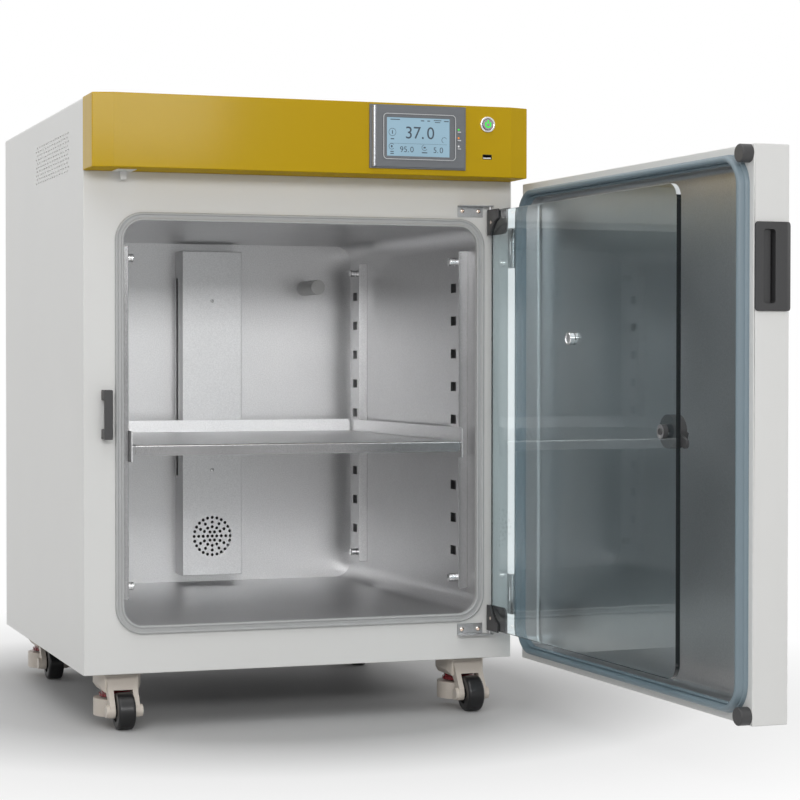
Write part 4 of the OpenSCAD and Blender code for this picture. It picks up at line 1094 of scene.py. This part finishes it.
class INCUBATOR_OT_display(Piece, bpy.types.Operator):
    """Makes the display: bezel, lit screen, printed outline, figures, signs and lamps"""

    bl_idname = "incubator.display"
    bl_label = "Display"

    def make(self):
        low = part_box("display_bezel")[0]
        screen_low, screen_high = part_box("display_screen")
        self.front = low.y
        self.screen_front = screen_low.y
        self.screen_mid = (screen_low + screen_high) / 2
        self.screen_size = screen_high - screen_low
        strip_end, strip_back = low.x + 9 * MM, low.y + 2.9 * MM

        def strip(face):
            """The glossy strip down the left side of the bezel."""
            at = face.calc_center_median()
            return int(at.x < strip_end and at.y < strip_back and abs(face.normal.z) < 0.5)

        soften("display_bezel", [bezel_moulding(), bezel_gloss()], 0.5 * MM,
               longer(20 * MM), steps=2, choose=strip)
        soften("display_screen", lit_screen(), 0.3 * MM, longer(20 * MM), steps=2)
        self.outline()
        self.readings()
        self.signs()
        self.lamps()

    def spot(self, across, up, proud=0.0):
        """A place on the screen, from its middle."""
        return Matrix.Translation((self.screen_mid.x + across, self.screen_front - proud,
                                   self.screen_mid.z + up))

    def outline(self):
        """The pale line printed round the screen."""
        half, proud, aside, corner = 0.45 * MM, 0.12 * MM, 0.6 * MM, 5 * MM
        wide, tall = self.screen_size.x + 13.5 * MM, self.screen_size.z + 9.4 * MM
        outline = [(-half, proud), (half, proud), (half, -proud), (-half, -proud)]
        place = Matrix.Translation((self.screen_mid.x + aside, self.front, self.screen_mid.z))
        ring = swept_ring("display_outline", outline, wide, tall, corner, pale_print(), place,
                          steps=6)
        seat(ring, "cabinet")

    def readings(self):
        """Plain readings: temperature, humidity and gas."""
        thick, tall, small = 0.12 * MM, 17 * MM, 8 * MM
        shapes = [figures("37. 0", tall, thick, self.spot(2 * MM, 5.0 * MM)),
                  figures("95. 0", small, thick, self.spot(-17 * MM, -17.5 * MM)),
                  figures("5. 0", small, thick, self.spot(29 * MM, -17.5 * MM))]
        piece_of("screen_figures", joined(*shapes), "cabinet", [screen_ink()],
                 smooth=False)

    def signs(self):
        """Plain round signs, bars in place of words and the dividing line, all in mm."""
        thick = 0.1 * MM
        arcs = ((-38, 6, 5.4, 0, 360), (-39, -13.5, 4.2, 40, 320), (9, -14, 4.2, 100, 330),
                (38, -3, 4.0, 30, 250))
        bars = ((-38, 6, 1.2, 5.5), (-39, -13.5, 2.4, 3.0), (9, -14, 3.0, 2.2), (0, -9.2, 84, 0.3),
                (-34, 23.4, 14, 1.2), (6, 22.6, 5, 1.3), (15, 22.6, 4, 1.3), (28, 23.6, 11, 1.0),
                (28, 21.0, 8, 1.0), (41, 22.8, 7, 1.2), (-38, -3.2, 5, 1.4),
                (-38.5, -20.5, 5, 1.3), (-38.5, -23.2, 5, 1.3), (9, -21, 8, 1.4))
        shapes = [arc_band(radius * MM, 0.6 * MM, start, stop, thick,
                           self.spot(across * MM, up * MM, thick / 2))
                  for across, up, radius, start, stop in arcs]
        shapes += [plate(rounded(wide * MM, tall * MM, 0.14 * tall * MM, 2), thick,
                         self.spot(across * MM, up * MM, thick / 2))
                   for across, up, wide, tall in bars]
        piece_of("screen_signs", joined(*shapes), "cabinet", [screen_ink()],
                 smooth=False)

    def lamps(self):
        """Three lamps, from green to white downwards, with a printed bar under each."""
        low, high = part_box("indicator_lamps")
        mid = (low + high) / 2
        step = (high.z - low.z) / 3

        def colour(face):
            up = face.calc_center_median().z - mid.z
            return 0 if up > step / 2 else 2 if up < -step / 2 else 1

        soften("indicator_lamps", [lamp_green(), lamp_orange(), lamp_white()], 0.3 * MM,
               anywhere, steps=2, choose=colour)
        pitch, under, thick = 11.5 * MM, 3.6 * MM, 0.12 * MM
        bars = [plate(rounded(5 * MM, 1.5 * MM, 0.4 * MM, 2), thick, Matrix.Translation(
            (mid.x, self.front - thick / 2, mid.z + side * pitch - under))) for side in (-1, 0, 1)]
        piece_of("lamp_bars", joined(*bars), "cabinet", [pale_print()],
                 smooth=False)


class INCUBATOR_OT_power_button(Piece, bpy.types.Operator):
    """Makes the chrome button with its lit sign, and the data socket under it"""

    bl_idname = "incubator.power_button"
    bl_label = "Power button and data socket"

    def make(self):
        soften("power_button_ring", bright_chrome(), 1.4 * MM,
               in_front("power_button_ring"), steps=4)
        soften("power_button_cap", button_face(), 0.5 * MM, anywhere)
        self.power_sign()
        self.data_socket()
        for node in ("door_switch_bracket", "door_switch_lever"):
            soften(node, pale_moulding(), 0.4 * MM, longer(3 * MM), steps=2)

    def power_sign(self):
        """The lit ring with a gap at its top, and the bar in the gap."""
        low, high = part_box("power_button_cap")
        centre = (low + high) / 2
        thick = 0.16 * MM
        place = Matrix.Translation((centre.x, low.y - thick / 2, centre.z))
        reach = (high.x - low.x) / 2
        band = 0.27 * reach
        ring = arc_band(0.64 * reach, band, 130, 410, thick, place)
        bar = plate(rounded(band, 0.66 * reach, 0.3 * MM, 3), thick,
                    place @ Matrix.Translation((0, 0, 0.48 * reach)))
        piece_of("power_sign", joined(ring, bar), "power_button", [lamp_green()],
                 smooth=False)

    def data_socket(self):
        """A dark socket with a pale tongue in it."""
        low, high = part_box("usb_socket")
        mid = (low + high) / 2

        def tongue(face):
            at = face.calc_center_median()
            return int(abs(at.x - mid.x) < 6.2 * MM and low.z + 0.6 * MM < at.z < mid.z - 0.3 * MM)

        soften("usb_socket", [socket_dark(), socket_tongue()], 0.15 * MM,
               longer(8 * MM), steps=2, choose=tongue)


class INCUBATOR_OT_chamber(Piece, bpy.types.Operator):
    """Finishes the chamber's liner, its duct, its probe and its mouth seal"""

    bl_idname = "incubator.chamber"
    bl_label = "Chamber"

    def make(self):
        soften("chamber_liner", satin_steel(), 0.3 * MM, nowhere)
        soften("duct_cover", satin_steel(), 0.8 * MM, in_front("duct_cover", 60 * MM))
        soften("gas_sensor", probe_moulding(), 1.4 * MM, in_front("gas_sensor"))
        self.mouth_seal()
        self.duct_screws()

    def mouth_seal(self):
        """A silicone profile with two lips and a groove between them."""
        low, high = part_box("chamber_gasket")
        size, mid = high - low, (low + high) / 2
        band, corner = 11.5 * MM, 38.5 * MM
        profile = ((0, 0), (0, 0.75), (0.06, 0.95), (0.16, 1), (0.24, 1), (0.30, 0.9), (0.36, 0.62),
                   (0.66, 0.62), (0.72, 0.9), (0.78, 1), (0.92, 1), (1, 0.86), (1, 0))
        ring = swept_ring("mouth_seal", stretched(profile, band, size.y), size.x, size.z, corner,
                          mouth_silicone(), Matrix.Translation((mid.x, high.y, mid.z)))
        seat(ring, "cabinet", ["chamber_gasket"])

    def duct_screws(self):
        low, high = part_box("duct_cover")
        points = [((low.x + high.x) / 2, low.y, low.z + up) for up in (169 * MM, 440 * MM)]
        screws = spread("duct_screws", pan_screw(6 * MM), points, TO_FRONT, brushed_steel())
        seat(screws, "cabinet")


class INCUBATOR_OT_shelf_furniture(Piece, bpy.types.Operator):
    """Finishes the slotted uprights, the rails and the thumb nuts"""

    bl_idname = "incubator.shelf_furniture"
    bl_label = "Shelf furniture"

    def make(self):
        low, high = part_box("shelf_uprights")
        between = (low.y + high.y) / 2

        # Painted shade: the front flanges of the uprights take the darker steel.
        def front_flange(face):
            return int(face.normal.y < -0.5 and face.calc_center_median().y < between)

        soften("shelf_uprights", [satin_steel(), lip_steel()], 0.5 * MM, longer(0.4),
               choose=front_flange)
        soften("shelf_supports", satin_steel(), 0.4 * MM, longer(0.4))
        self.thumb_nuts()

    def thumb_nuts(self):
        """Turned nuts with grooves, one on each end of every upright."""
        low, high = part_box("upright_thumb_nuts")
        seat_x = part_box("shelf_uprights")[1].x - 14 * MM
        grooves = sizes().nut_grooves
        radius, tall, cut, rim = 5.75 * MM, 13 * MM, 0.9 * MM, 0.8 * MM
        outline = [(0, 0), (radius, 0)]
        for groove in range(grooves):
            at = tall * (groove + 1) / (grooves + 1)
            outline += [(radius, at - 1.0 * MM), (radius - cut, at - 0.5 * MM),
                        (radius - cut, at + 0.5 * MM), (radius, at + 1.0 * MM)]
        outline += [(radius, tall - rim), (radius - rim, tall), (0, tall)]
        corners = [v.co for v in NODES["upright_thumb_nuts"].data.vertices]
        for side, label, turn in ((-1, "left", TO_RIGHT), (1, "right", TO_LEFT)):
            rows = [corner.y for corner in corners if corner.x * side > 0]
            points = [(side * seat_x, y, z) for y in (min(rows) + radius, max(rows) - radius)
                      for z in (low.z + radius, high.z - radius)]
            nuts = spread("thumb_nuts_" + label, turned("thumb_nut", outline), points, turn,
                          bright_chrome())
            seat(nuts, "cabinet", ["upright_thumb_nuts"])


class INCUBATOR_OT_shelf(Piece, bpy.types.Operator):
    """Makes the perforated shelf with its front and rear lip"""

    bl_idname = "incubator.shelf"
    bl_label = "Shelf"

    def make(self):
        low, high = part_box("shelf")
        self.low, self.high = low, high
        self.sheet = 1.2 * MM
        self.top = self.top_of_sheet()
        pitch, border = sizes().shelf_pitch, sizes().shelf_border
        columns = int((high.x - low.x - 2 * border) / pitch)
        rows = int((high.y - low.y - 2 * border) / pitch)
        field = self.perforated_field(columns, rows)
        whole = self.rim(columns * pitch, rows * pitch)
        whole.from_mesh(field.data)
        discard(field)

        def lip(face):
            """The front lip gets painted shade and the rear lip a painted highlight, darker and brighter than the
            sheet.
            """
            if face.normal.y > -0.5:
                return 0
            at = face.calc_center_median().y
            return 1 if at < low.y + 2 * MM else 2 if at > high.y - 4 * MM else 0

        looks = [satin_steel(), lip_steel(), bright_lip_steel()]
        piece_of("shelf_perforated", whole, "shelf", looks, ["shelf"], choose=lip,
                 smooth=False)

    def top_of_sheet(self):
        """The height that most of the shelf's points share."""
        heights = Counter(round(v.co.z, 5) for v in NODES["shelf"].data.vertices)
        return max(dict(heights.most_common(2)))

    def field_tree(self):
        """Rows of cells, every other row half a step over, with plain half cells at its ends."""
        graph, given, finish_with = shape_tree(
            "perforated_field", ("Pitch", "Float"), ("Columns", "Int"), ("Rows", "Int"),
            ("Cell", "Object"), ("Half cell", "Object"))
        pitch, wide = given["Pitch"], given["Pitch"] * given["Columns"]

        def copies(cell, spread_x, count, over, unwanted):
            grid = graph.node("GeometryNodeMeshGrid", sockets={
                "Size X": spread_x, "Size Y": pitch * (given["Rows"] - 1), "Vertices X": count,
                "Vertices Y": given["Rows"]})
            at = graph.node("GeometryNodeInputPosition")
            across = graph.node("ShaderNodeSeparateXYZ", sockets={0: at}, out="X")
            row = graph.node("ShaderNodeSeparateXYZ", sockets={0: at}, out="Y") / pitch
            odd = (row + (given["Rows"] - 1) * 0.5 + 0.25) % 2.0 > 1.0
            kept = graph.node("GeometryNodeDeleteGeometry", {"domain": "POINT"}, {
                "Geometry": grid, "Selection": unwanted(odd, across)})
            step = graph.node("ShaderNodeCombineXYZ", sockets={"X": odd * over})
            points = graph.node("GeometryNodeSetPosition", sockets={
                "Geometry": kept, "Offset": step})
            shape = graph.node("GeometryNodeObjectInfo", sockets={"Object": given[cell]},
                               out="Geometry")
            return graph.node("GeometryNodeInstanceOnPoints", sockets={
                "Points": points, "Instance": shape})

        cells = copies("Cell", wide - pitch, given["Columns"], pitch * 0.5,
                       lambda odd, across: odd * (across > wide * 0.5 - pitch * 0.75))
        ends = copies("Half cell", wide - pitch * 0.5, 2, 0.0, lambda odd, across: 1.0 - odd)
        return finish_with(graph.node("GeometryNodeJoinGeometry", sockets={
            "Geometry": [cells, ends]}))

    def perforated_field(self, columns, rows):
        """The sheet between the borders, grown from its cells and put in place."""
        pitch = sizes().shelf_pitch
        cell = link(bpy.data.objects.new("cell", self.cell(pitch, sizes().shelf_hole)))
        half = link(bpy.data.objects.new("half_cell", self.half_cell(pitch)))
        field = grown("shelf_field", self.field_tree(), {
            "Pitch": pitch, "Columns": columns, "Rows": rows, "Cell": cell, "Half cell": half,
            "Finish": satin_steel()})
        discard(cell)
        discard(half)
        centre = (self.low + self.high) / 2
        field.data.transform(Matrix.Translation((centre.x, centre.y, self.top)))
        return field

    def cell(self, pitch, hole):
        """A square of sheet round a six-sided hole, open at its outer sides."""
        half, radius, sides = pitch / 2, hole / 2, 6
        square = [(half, 0), (half, half), (-half, half), (-half, 0), (-half, -half), (half, -half)]
        turns = [math.pi / 3 * k for k in range(sides)]
        ring = [(radius * math.cos(turn), radius * math.sin(turn)) for turn in turns]
        points = [(x, y, z) for z in (0, -self.sheet) for line in (square, ring) for x, y in line]
        top, top_ring, under, under_ring = (range(row * sides, row * sides + sides)
                                            for row in range(4))
        faces = []
        for k in range(sides):
            n = (k + 1) % sides
            faces += [(top[k], top[n], top_ring[n], top_ring[k]),
                      (under[n], under[k], under_ring[k], under_ring[n]),
                      (top_ring[k], top_ring[n], under_ring[n], under_ring[k])]
        return helper_mesh("cell", points, faces)

    def half_cell(self, pitch):
        """A plain piece of sheet, half as wide as a cell."""
        x, y = pitch / 4, pitch / 2
        points = [(sx * x, sy * y, z) for z in (0, -self.sheet)
                  for sx, sy in ((-1, -1), (1, -1), (1, 1), (-1, 1))]
        return helper_mesh("half_cell", points, [(0, 1, 2, 3), (7, 6, 5, 4)])

    def rim(self, wide, deep):
        """The plain border of the sheet, its lip turned down in front and up at the rear."""
        low, high, top = self.low, self.high, self.top
        under = top - self.sheet
        centre = (low + high) / 2
        fold = 2.2 * MM
        front, rear = centre.y - deep / 2, centre.y + deep / 2
        front_lip = [(low.y + y, top - z)
                     for y, z in self.lip_outline(front - low.y, top - low.z, fold)]
        rear_lip = [(high.y - y, under + z)
                    for y, z in self.lip_outline(high.y - rear, high.z - top + self.sheet, fold)]
        border = [(front, top), (rear, top), (rear, under), (front, under)]
        return joined(self.bar(front_lip, low.x, high.x, low.z),
                      self.bar(rear_lip, low.x, high.x, high.z),
                      self.bar(border, low.x, centre.x - wide / 2),
                      self.bar(border, centre.x + wide / 2, high.x))

    def lip_outline(self, reach, drop, fold):
        """A quarter-round fold between a flat border and its lip, as (inwards, down) points."""
        sheet, steps = self.sheet, 5
        turns = [math.pi / 2 * k / steps for k in range(steps + 1)]

        def bend(radius):
            return [(fold - radius * math.sin(a), fold - radius * math.cos(a)) for a in turns]

        return [(reach, 0), *bend(fold), (0, drop), (sheet, drop), *bend(fold - sheet)[::-1],
                (reach, sheet)]

    def bar(self, outline, x0, x1, lip_end=None):
        """An outline in Y and Z drawn out along X, with round corners at the end of its lip."""
        shape = drawn_out([(x0, y, z) for y, z in outline], (x1 - x0, 0, 0))
        if lip_end is not None:
            corner = 5 * MM
            round_edges(shape, corner, lambda edge: abs(middle(edge).z - lip_end) < 0.01 * MM
                        and edge.calc_length() < corner, steps=5)
        return shape


class INCUBATOR_OT_glass_door(Piece, bpy.types.Operator):
    """Finishes the inner glass door with its port, clamps, latch, brackets and keeper"""

    bl_idname = "incubator.glass_door"
    bl_label = "Glass door"
    hinge = "glass_door_hinge"

    def make(self):
        self.opened = shut_to_open(self.hinge)
        soften("glass_pane", [tinted_glass(), dark_glass_edge(), ground_edge()], 0.8 * MM,
               longer(0.4), steps=2, choose=self.pane_or_edge)
        self.clamps()
        self.sample_port()
        # The brackets take the pan's steel with its painted shade.
        soften("glass_hinge_brackets", pan_steel(), 0.4 * MM, longer(7 * MM),
               steps=2)
        soften("latch_keeper", dark_moulding(), 1.2 * MM, longer(8 * MM))
        self.latch()
        self.bracket_screws()

    def pane_or_edge(self, face):
        """The panes are tinted; the top edge is pale, a painted highlight, and the other edges are dark, painted
        shade.
        """
        if abs(face.normal.x) > 0.95:
            return 0
        return 2 if face.normal.z > 0.3 else 1

    def clamps(self):
        shut = self.opened.inverted()
        heads = box_at("glass_hinge_clamps", self.hinge)[1].y - 0.7 * MM

        def screw_head(face):
            return int((shut @ face.calc_center_median()).y > heads)

        soften("glass_hinge_clamps", [dark_moulding(), warm_screw()], 0.7 * MM,
               longer(8 * MM), choose=screw_head)

    def sample_port(self):
        """A port with a flange on both sides of the glass, shut by its plug."""
        low, high = box_at("glass_sample_port", self.hinge)
        mid = (low + high) / 2
        outside, inside = (corner.y - low.y for corner in box_at("glass_pane", self.hinge))
        rim = (high.x - low.x) / 2
        stem, edge, end = 0.6 * rim, 0.8 * MM, inside + 6.5 * MM
        outline = [(0, 0), (rim - edge, 0), (rim, edge), (rim, outside), (stem, outside),
                   (stem, inside), (rim, inside), (rim, end - edge), (rim - edge, end),
                   (0.74 * rim, end), (0.68 * rim, end - edge), (0, end - edge)]
        shape = bmesh.new()
        shape.from_mesh(turned("port_outline", outline, 32))
        shape.transform(self.opened @ Matrix.Translation((mid.x, low.y, mid.z))
                        @ Matrix.Rotation(-math.pi / 2, 4, "X"))
        piece_of("glass_sample_port_finished", shape, BODY_OF["glass_sample_port"],
                 [bright_chrome()], ["glass_sample_port"])

    def latch(self):
        """A dark knob whose nut is bright, with the dark end of its stem in the nut."""
        inside = self.opened.to_3x3() @ Vector((0, 1, 0))
        centre = Vector(JOINTS["glass_latch_turn"]["pos_m"])
        reach = max((v.co - centre).dot(inside) for v in NODES["glass_latch_knob"].data.vertices)
        nut_start, nut_end = 12.7 * MM, reach - 0.7 * MM

        def nut(face):
            return int(nut_start < (face.calc_center_median() - centre).dot(inside) < nut_end)

        soften("glass_latch_knob", [dark_moulding(), bright_chrome()], 0.8 * MM,
               longer(3.5 * MM), steps=2, choose=nut)

    def bracket_screws(self):
        low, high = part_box("glass_hinge_brackets")
        surface, from_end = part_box("front_frame")[0].y - 1.5 * MM, 8 * MM
        points = [(low.x + across, surface, z) for across in (6.5 * MM, 31 * MM)
                  for z in (low.z + from_end, high.z - from_end)]
        screws = spread("bracket_screws", pan_screw(6.6 * MM), points, TO_FRONT, warm_screw())
        seat(screws, "cabinet")


class INCUBATOR_OT_outer_door(Piece, bpy.types.Operator):
    """Finishes the outer door: painted shell, steel pan, seal, handle and buffers"""

    bl_idname = "incubator.outer_door"
    bl_label = "Outer door"
    hinge = "outer_door_hinge"

    def make(self):
        self.opened = shut_to_open(self.hinge)
        self.shut = self.opened.inverted()
        self.low, self.high = box_at("door_shell", self.hinge)
        soften("door_shell", powder_coat(), sizes().fold_radius, self.skin_fold)
        self.pan()
        self.seal()
        self.handle()
        soften("door_buffers", dark_moulding(), 1.6 * MM, self.buffer_rim)
        coat("door_insulation", wool_foam())

    def skin_fold(self, edge):
        """True on the long outer edges of the shell."""
        at = self.shut @ middle(edge)
        planes = sum(abs(along - side) < NEAR for corner in (self.low, self.high)
                     for along, side in zip(at, corner))
        return planes == 2 and edge.calc_length() > 20 * MM

    def pan(self):
        """The steel pan in painted shade, darker than the chamber, with a round foot where its walls meet its
        floor.
        """
        floor = box_at("door_liner", self.hinge)[0].y + 1 * MM

        def foot(edge):
            return abs((self.shut @ middle(edge)).y - floor) < NEAR and not edge.is_convex

        soften("door_liner", pan_steel(), 5 * MM, foot, steps=4)

    def seal(self):
        """A vinyl profile with a bulb between two low lips."""
        low, high = box_at("door_gasket", self.hinge)
        size, mid = high - low, (low + high) / 2
        band, corner = 12 * MM, 40 * MM
        profile = ((0, 0), (0, 0.34), (0.05, 0.40), (0.13, 0.42), (0.16, 0.80), (0.22, 0.93),
                   (0.34, 1), (0.58, 1), (0.70, 0.93), (0.75, 0.80), (0.77, 0.46), (0.82, 0.42),
                   (0.88, 0.52), (0.94, 0.54), (1, 0.46), (1, 0))
        place = (self.opened @ Matrix.Translation((mid.x, low.y, mid.z))
                 @ Matrix.Rotation(math.pi, 4, "Z"))
        ring = swept_ring("door_seal", stretched(profile, band, size.y), size.x, size.z, corner,
                          door_seal_vinyl(), place)
        seat(ring, "outer_door", ["door_gasket"])

    def handle(self):
        """A dark handle let into the door's edge, with round ends."""
        low, high = box_at("door_handle", self.hinge)
        flush = 0.05 * MM

        def end_corner(edge):
            along = (self.shut.to_3x3() @ (edge.verts[1].co - edge.verts[0].co)).normalized()
            at = self.shut @ middle(edge)
            return (abs(along.x) > 0.95 and min(abs(at.z - low.z), abs(at.z - high.z)) < NEAR
                    and at.y < high.y - 1 * MM)

        def rest(edge):
            in_door = (self.shut @ middle(edge)).x > self.low.x - flush
            return edge.calc_length() > 4 * MM and not (in_door and edge.is_convex)

        def beside_corner(face):
            """The painted corners that the round handle leaves on the door's edge."""
            return int(abs((self.shut @ face.calc_center_median()).x - self.low.x) < flush)

        soften("door_handle", [dark_moulding(), powder_coat()],
               [(4 * MM, end_corner), (1.0 * MM, rest)], choose=beside_corner)
        self.finger_ramp(low, high)

    def finger_ramp(self, low, high):
        """The shallow floor of the finger slot, which drops behind the outer skin."""
        wide, tall, deep = 16 * MM, 86 * MM, 17.9 * MM
        near, mid = high.y - 10 * MM, (low.z + high.z) / 2
        floor = [(3 * MM, 0), (5 * MM, 0.76 * wide), (deep, 0.84 * wide), (deep, 0)]
        outline = [(low.x + depth, across - near) for depth, across in floor]
        place = (self.opened @ Matrix.Translation((0, 0, mid - tall / 2))
                 @ Matrix.Rotation(math.pi / 2, 4, "X"))
        piece_of("handle_finger_ramp", plate(outline, tall, place), "outer_door",
                 [dark_moulding()])

    def buffer_rim(self, edge):
        """True on the rim that meets the cabinet's face."""
        return (self.shut @ middle(edge)).y > self.high.y + 5 * MM


class INCUBATOR_OT_hinges(Piece, bpy.types.Operator):
    """Finishes the outer door's hinges and puts their screws in"""

    bl_idname = "incubator.hinges"
    bl_label = "Door hinges"

    def make(self):
        for node in ("door_hinge_frame_leaves", "door_hinge_door_leaves"):
            soften(node, brushed_steel(), 0.5 * MM, longer(12 * MM), steps=2)
        self.screws("frame_hinge_screws", "door_hinge_frame_leaves", "cabinet")
        self.screws("door_hinge_screws", "door_hinge_door_leaves", "outer_door", "outer_door_hinge")

    def screws(self, name, node, body, joint=None):
        """Four screws in each of a hinge's two leaves on one side."""
        low, high = box_at(node, joint)
        leaf_tall, from_end = 57 * MM, 12 * MM
        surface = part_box("cabinet_wrap")[1].x + 1.9 * MM
        far, inward = (high.y, -1) if joint is None else (low.y, 1)
        points = [(surface, far + inward * across, z) for across in (8 * MM, 20 * MM)
                  for end in (low.z, high.z - leaf_tall)
                  for z in (end + from_end, end + leaf_tall - from_end)]
        screws = spread(name, pan_screw(6.2 * MM), points, TO_RIGHT, bright_chrome())
        screws.data.transform(Matrix.Identity(4) if joint is None else shut_to_open(joint))
        seat(screws, body)


class INCUBATOR_OT_castors(Piece, bpy.types.Operator):
    """Finishes the four levelling castors"""

    bl_idname = "incubator.castors"
    bl_label = "Castors"

    def make(self):
        soften("castor_plates", castor_moulding(), 0.6 * MM, longer(20 * MM),
               steps=2)
        for corner in CORNERS:
            soften("castor_fork_" + corner, castor_moulding(), 0.9 * MM,
                   raised(6 * MM), steps=2)
            soften("castor_wheel_" + corner, tyre_rubber(), 0.5 * MM, nowhere)
            soften("levelling_pad_" + corner, castor_moulding(), 0.8 * MM,
                   raised(), steps=2)
            soften("pad_adjuster_" + corner, adjuster_moulding(), 0.3 * MM,
                   raised(1.5 * MM), steps=2)


class INCUBATOR_OT_rear_fittings(Piece, bpy.types.Operator):
    """Finishes the mains inlet and the gas valve, and screws the rear panel on"""

    bl_idname = "incubator.rear_fittings"
    bl_label = "Rear fittings"

    def make(self):
        soften("power_inlet", dark_moulding(), 0.8 * MM, longer(5 * MM), steps=2)
        soften("gas_valve", turned_brass(), 0.4 * MM, longer(12 * MM), steps=2)
        self.inlet_pins()
        self.panel_screws()

    def inlet_pins(self):
        """Three flat pins in the mains socket."""
        socket = MOUNTS["mains_inlet"]
        pin, deep, inside = rounded(2 * MM, 4 * MM, 0.4 * MM, 2), 17 * MM, 23
        shapes = [plate(pin, deep, Matrix.Translation(socket + Vector((across, -inside, up)) * MM))
                  for across, up in ((-7, -1.5), (7, -1.5), (0, 2.5))]
        piece_of("inlet_pins", joined(*shapes), "cabinet", [bright_chrome()],
                 smooth=False)

    def panel_screws(self):
        """Screws all round the rear panel, evenly spaced along each side."""
        low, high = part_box("rear_panel")
        inset, rows, columns = 11 * MM, 5, 4
        left, right, bottom, top = low.x + inset, high.x - inset, low.z + inset, high.z - inset
        tall, wide = high.z - low.z - 2 * inset, high.x - low.x - 2 * inset
        points = [(x, high.y, bottom + tall * k / (rows - 1)) for k in range(rows)
                  for x in (left, right)]
        points += [(left + wide * k / (columns - 1), high.y, z) for k in range(1, columns - 1)
                   for z in (bottom, top)]
        screws = spread("rear_panel_screws", pan_screw(sizes().panel_screw), points, TO_REAR,
                        bright_chrome())
        seat(screws, "cabinet")


class INCUBATOR_OT_inner_works(Piece, bpy.types.Operator):
    """Finishes the hidden insulation, heaters, fan, board and supply"""

    bl_idname = "incubator.inner_works"
    bl_label = "Inner works"

    def make(self):
        coat("insulation", wool_foam())
        coat("heating_mats", heater_silicone())
        soften("fan_motor", brushed_steel(), 1.0 * MM, anywhere, steps=2)
        soften("fan_impeller", dark_moulding(), 0.3 * MM, longer(12 * MM), steps=2)
        soften("power_supply", brushed_steel(), 0.6 * MM, longer(30 * MM), steps=2)
        coat("control_board", circuit_lacquer())


OPERATORS = (
    INCUBATOR_OT_stage, INCUBATOR_OT_cabinet_shell, INCUBATOR_OT_control_hood,
    INCUBATOR_OT_display, INCUBATOR_OT_power_button, INCUBATOR_OT_chamber,
    INCUBATOR_OT_shelf_furniture, INCUBATOR_OT_shelf, INCUBATOR_OT_glass_door,
    INCUBATOR_OT_outer_door, INCUBATOR_OT_hinges, INCUBATOR_OT_castors,
    INCUBATOR_OT_rear_fittings, INCUBATOR_OT_inner_works)


class INCUBATOR_PT_pieces(bpy.types.Panel):
    """Lists the pieces of the incubator with their settings"""

    bl_idname = "INCUBATOR_PT_pieces"
    bl_label = "Incubator"
    bl_space_type = "VIEW_3D"
    bl_region_type = "UI"
    bl_category = "Incubator"

    def draw(self, context):
        for name, kind in GROUPS.items():
            settings = self.layout.box()
            for key in kind.__annotations__:
                settings.prop(getattr(context.scene, name), key)
        for operator in OPERATORS:
            self.layout.operator(operator.bl_idname)


GROUPS = {"incubator_colours": IncubatorColours, "incubator_sizes": IncubatorSizes,
          "incubator_stage": IncubatorStage}
CLASSES = (*GROUPS.values(), *OPERATORS, INCUBATOR_PT_pieces)


def register():
    for kind in CLASSES:
        bpy.utils.register_class(kind)
    for name, group in GROUPS.items():
        setattr(bpy.types.Scene, name, PointerProperty(type=group))


def unregister():
    for name in GROUPS:
        delattr(bpy.types.Scene, name)
    for kind in reversed(CLASSES):
        bpy.utils.unregister_class(kind)


def main():
    register()
    for operator in OPERATORS:
        family, name = operator.bl_idname.split(".")
        getattr(getattr(bpy.ops, family), name)()


if __name__ == "__main__":
    main()
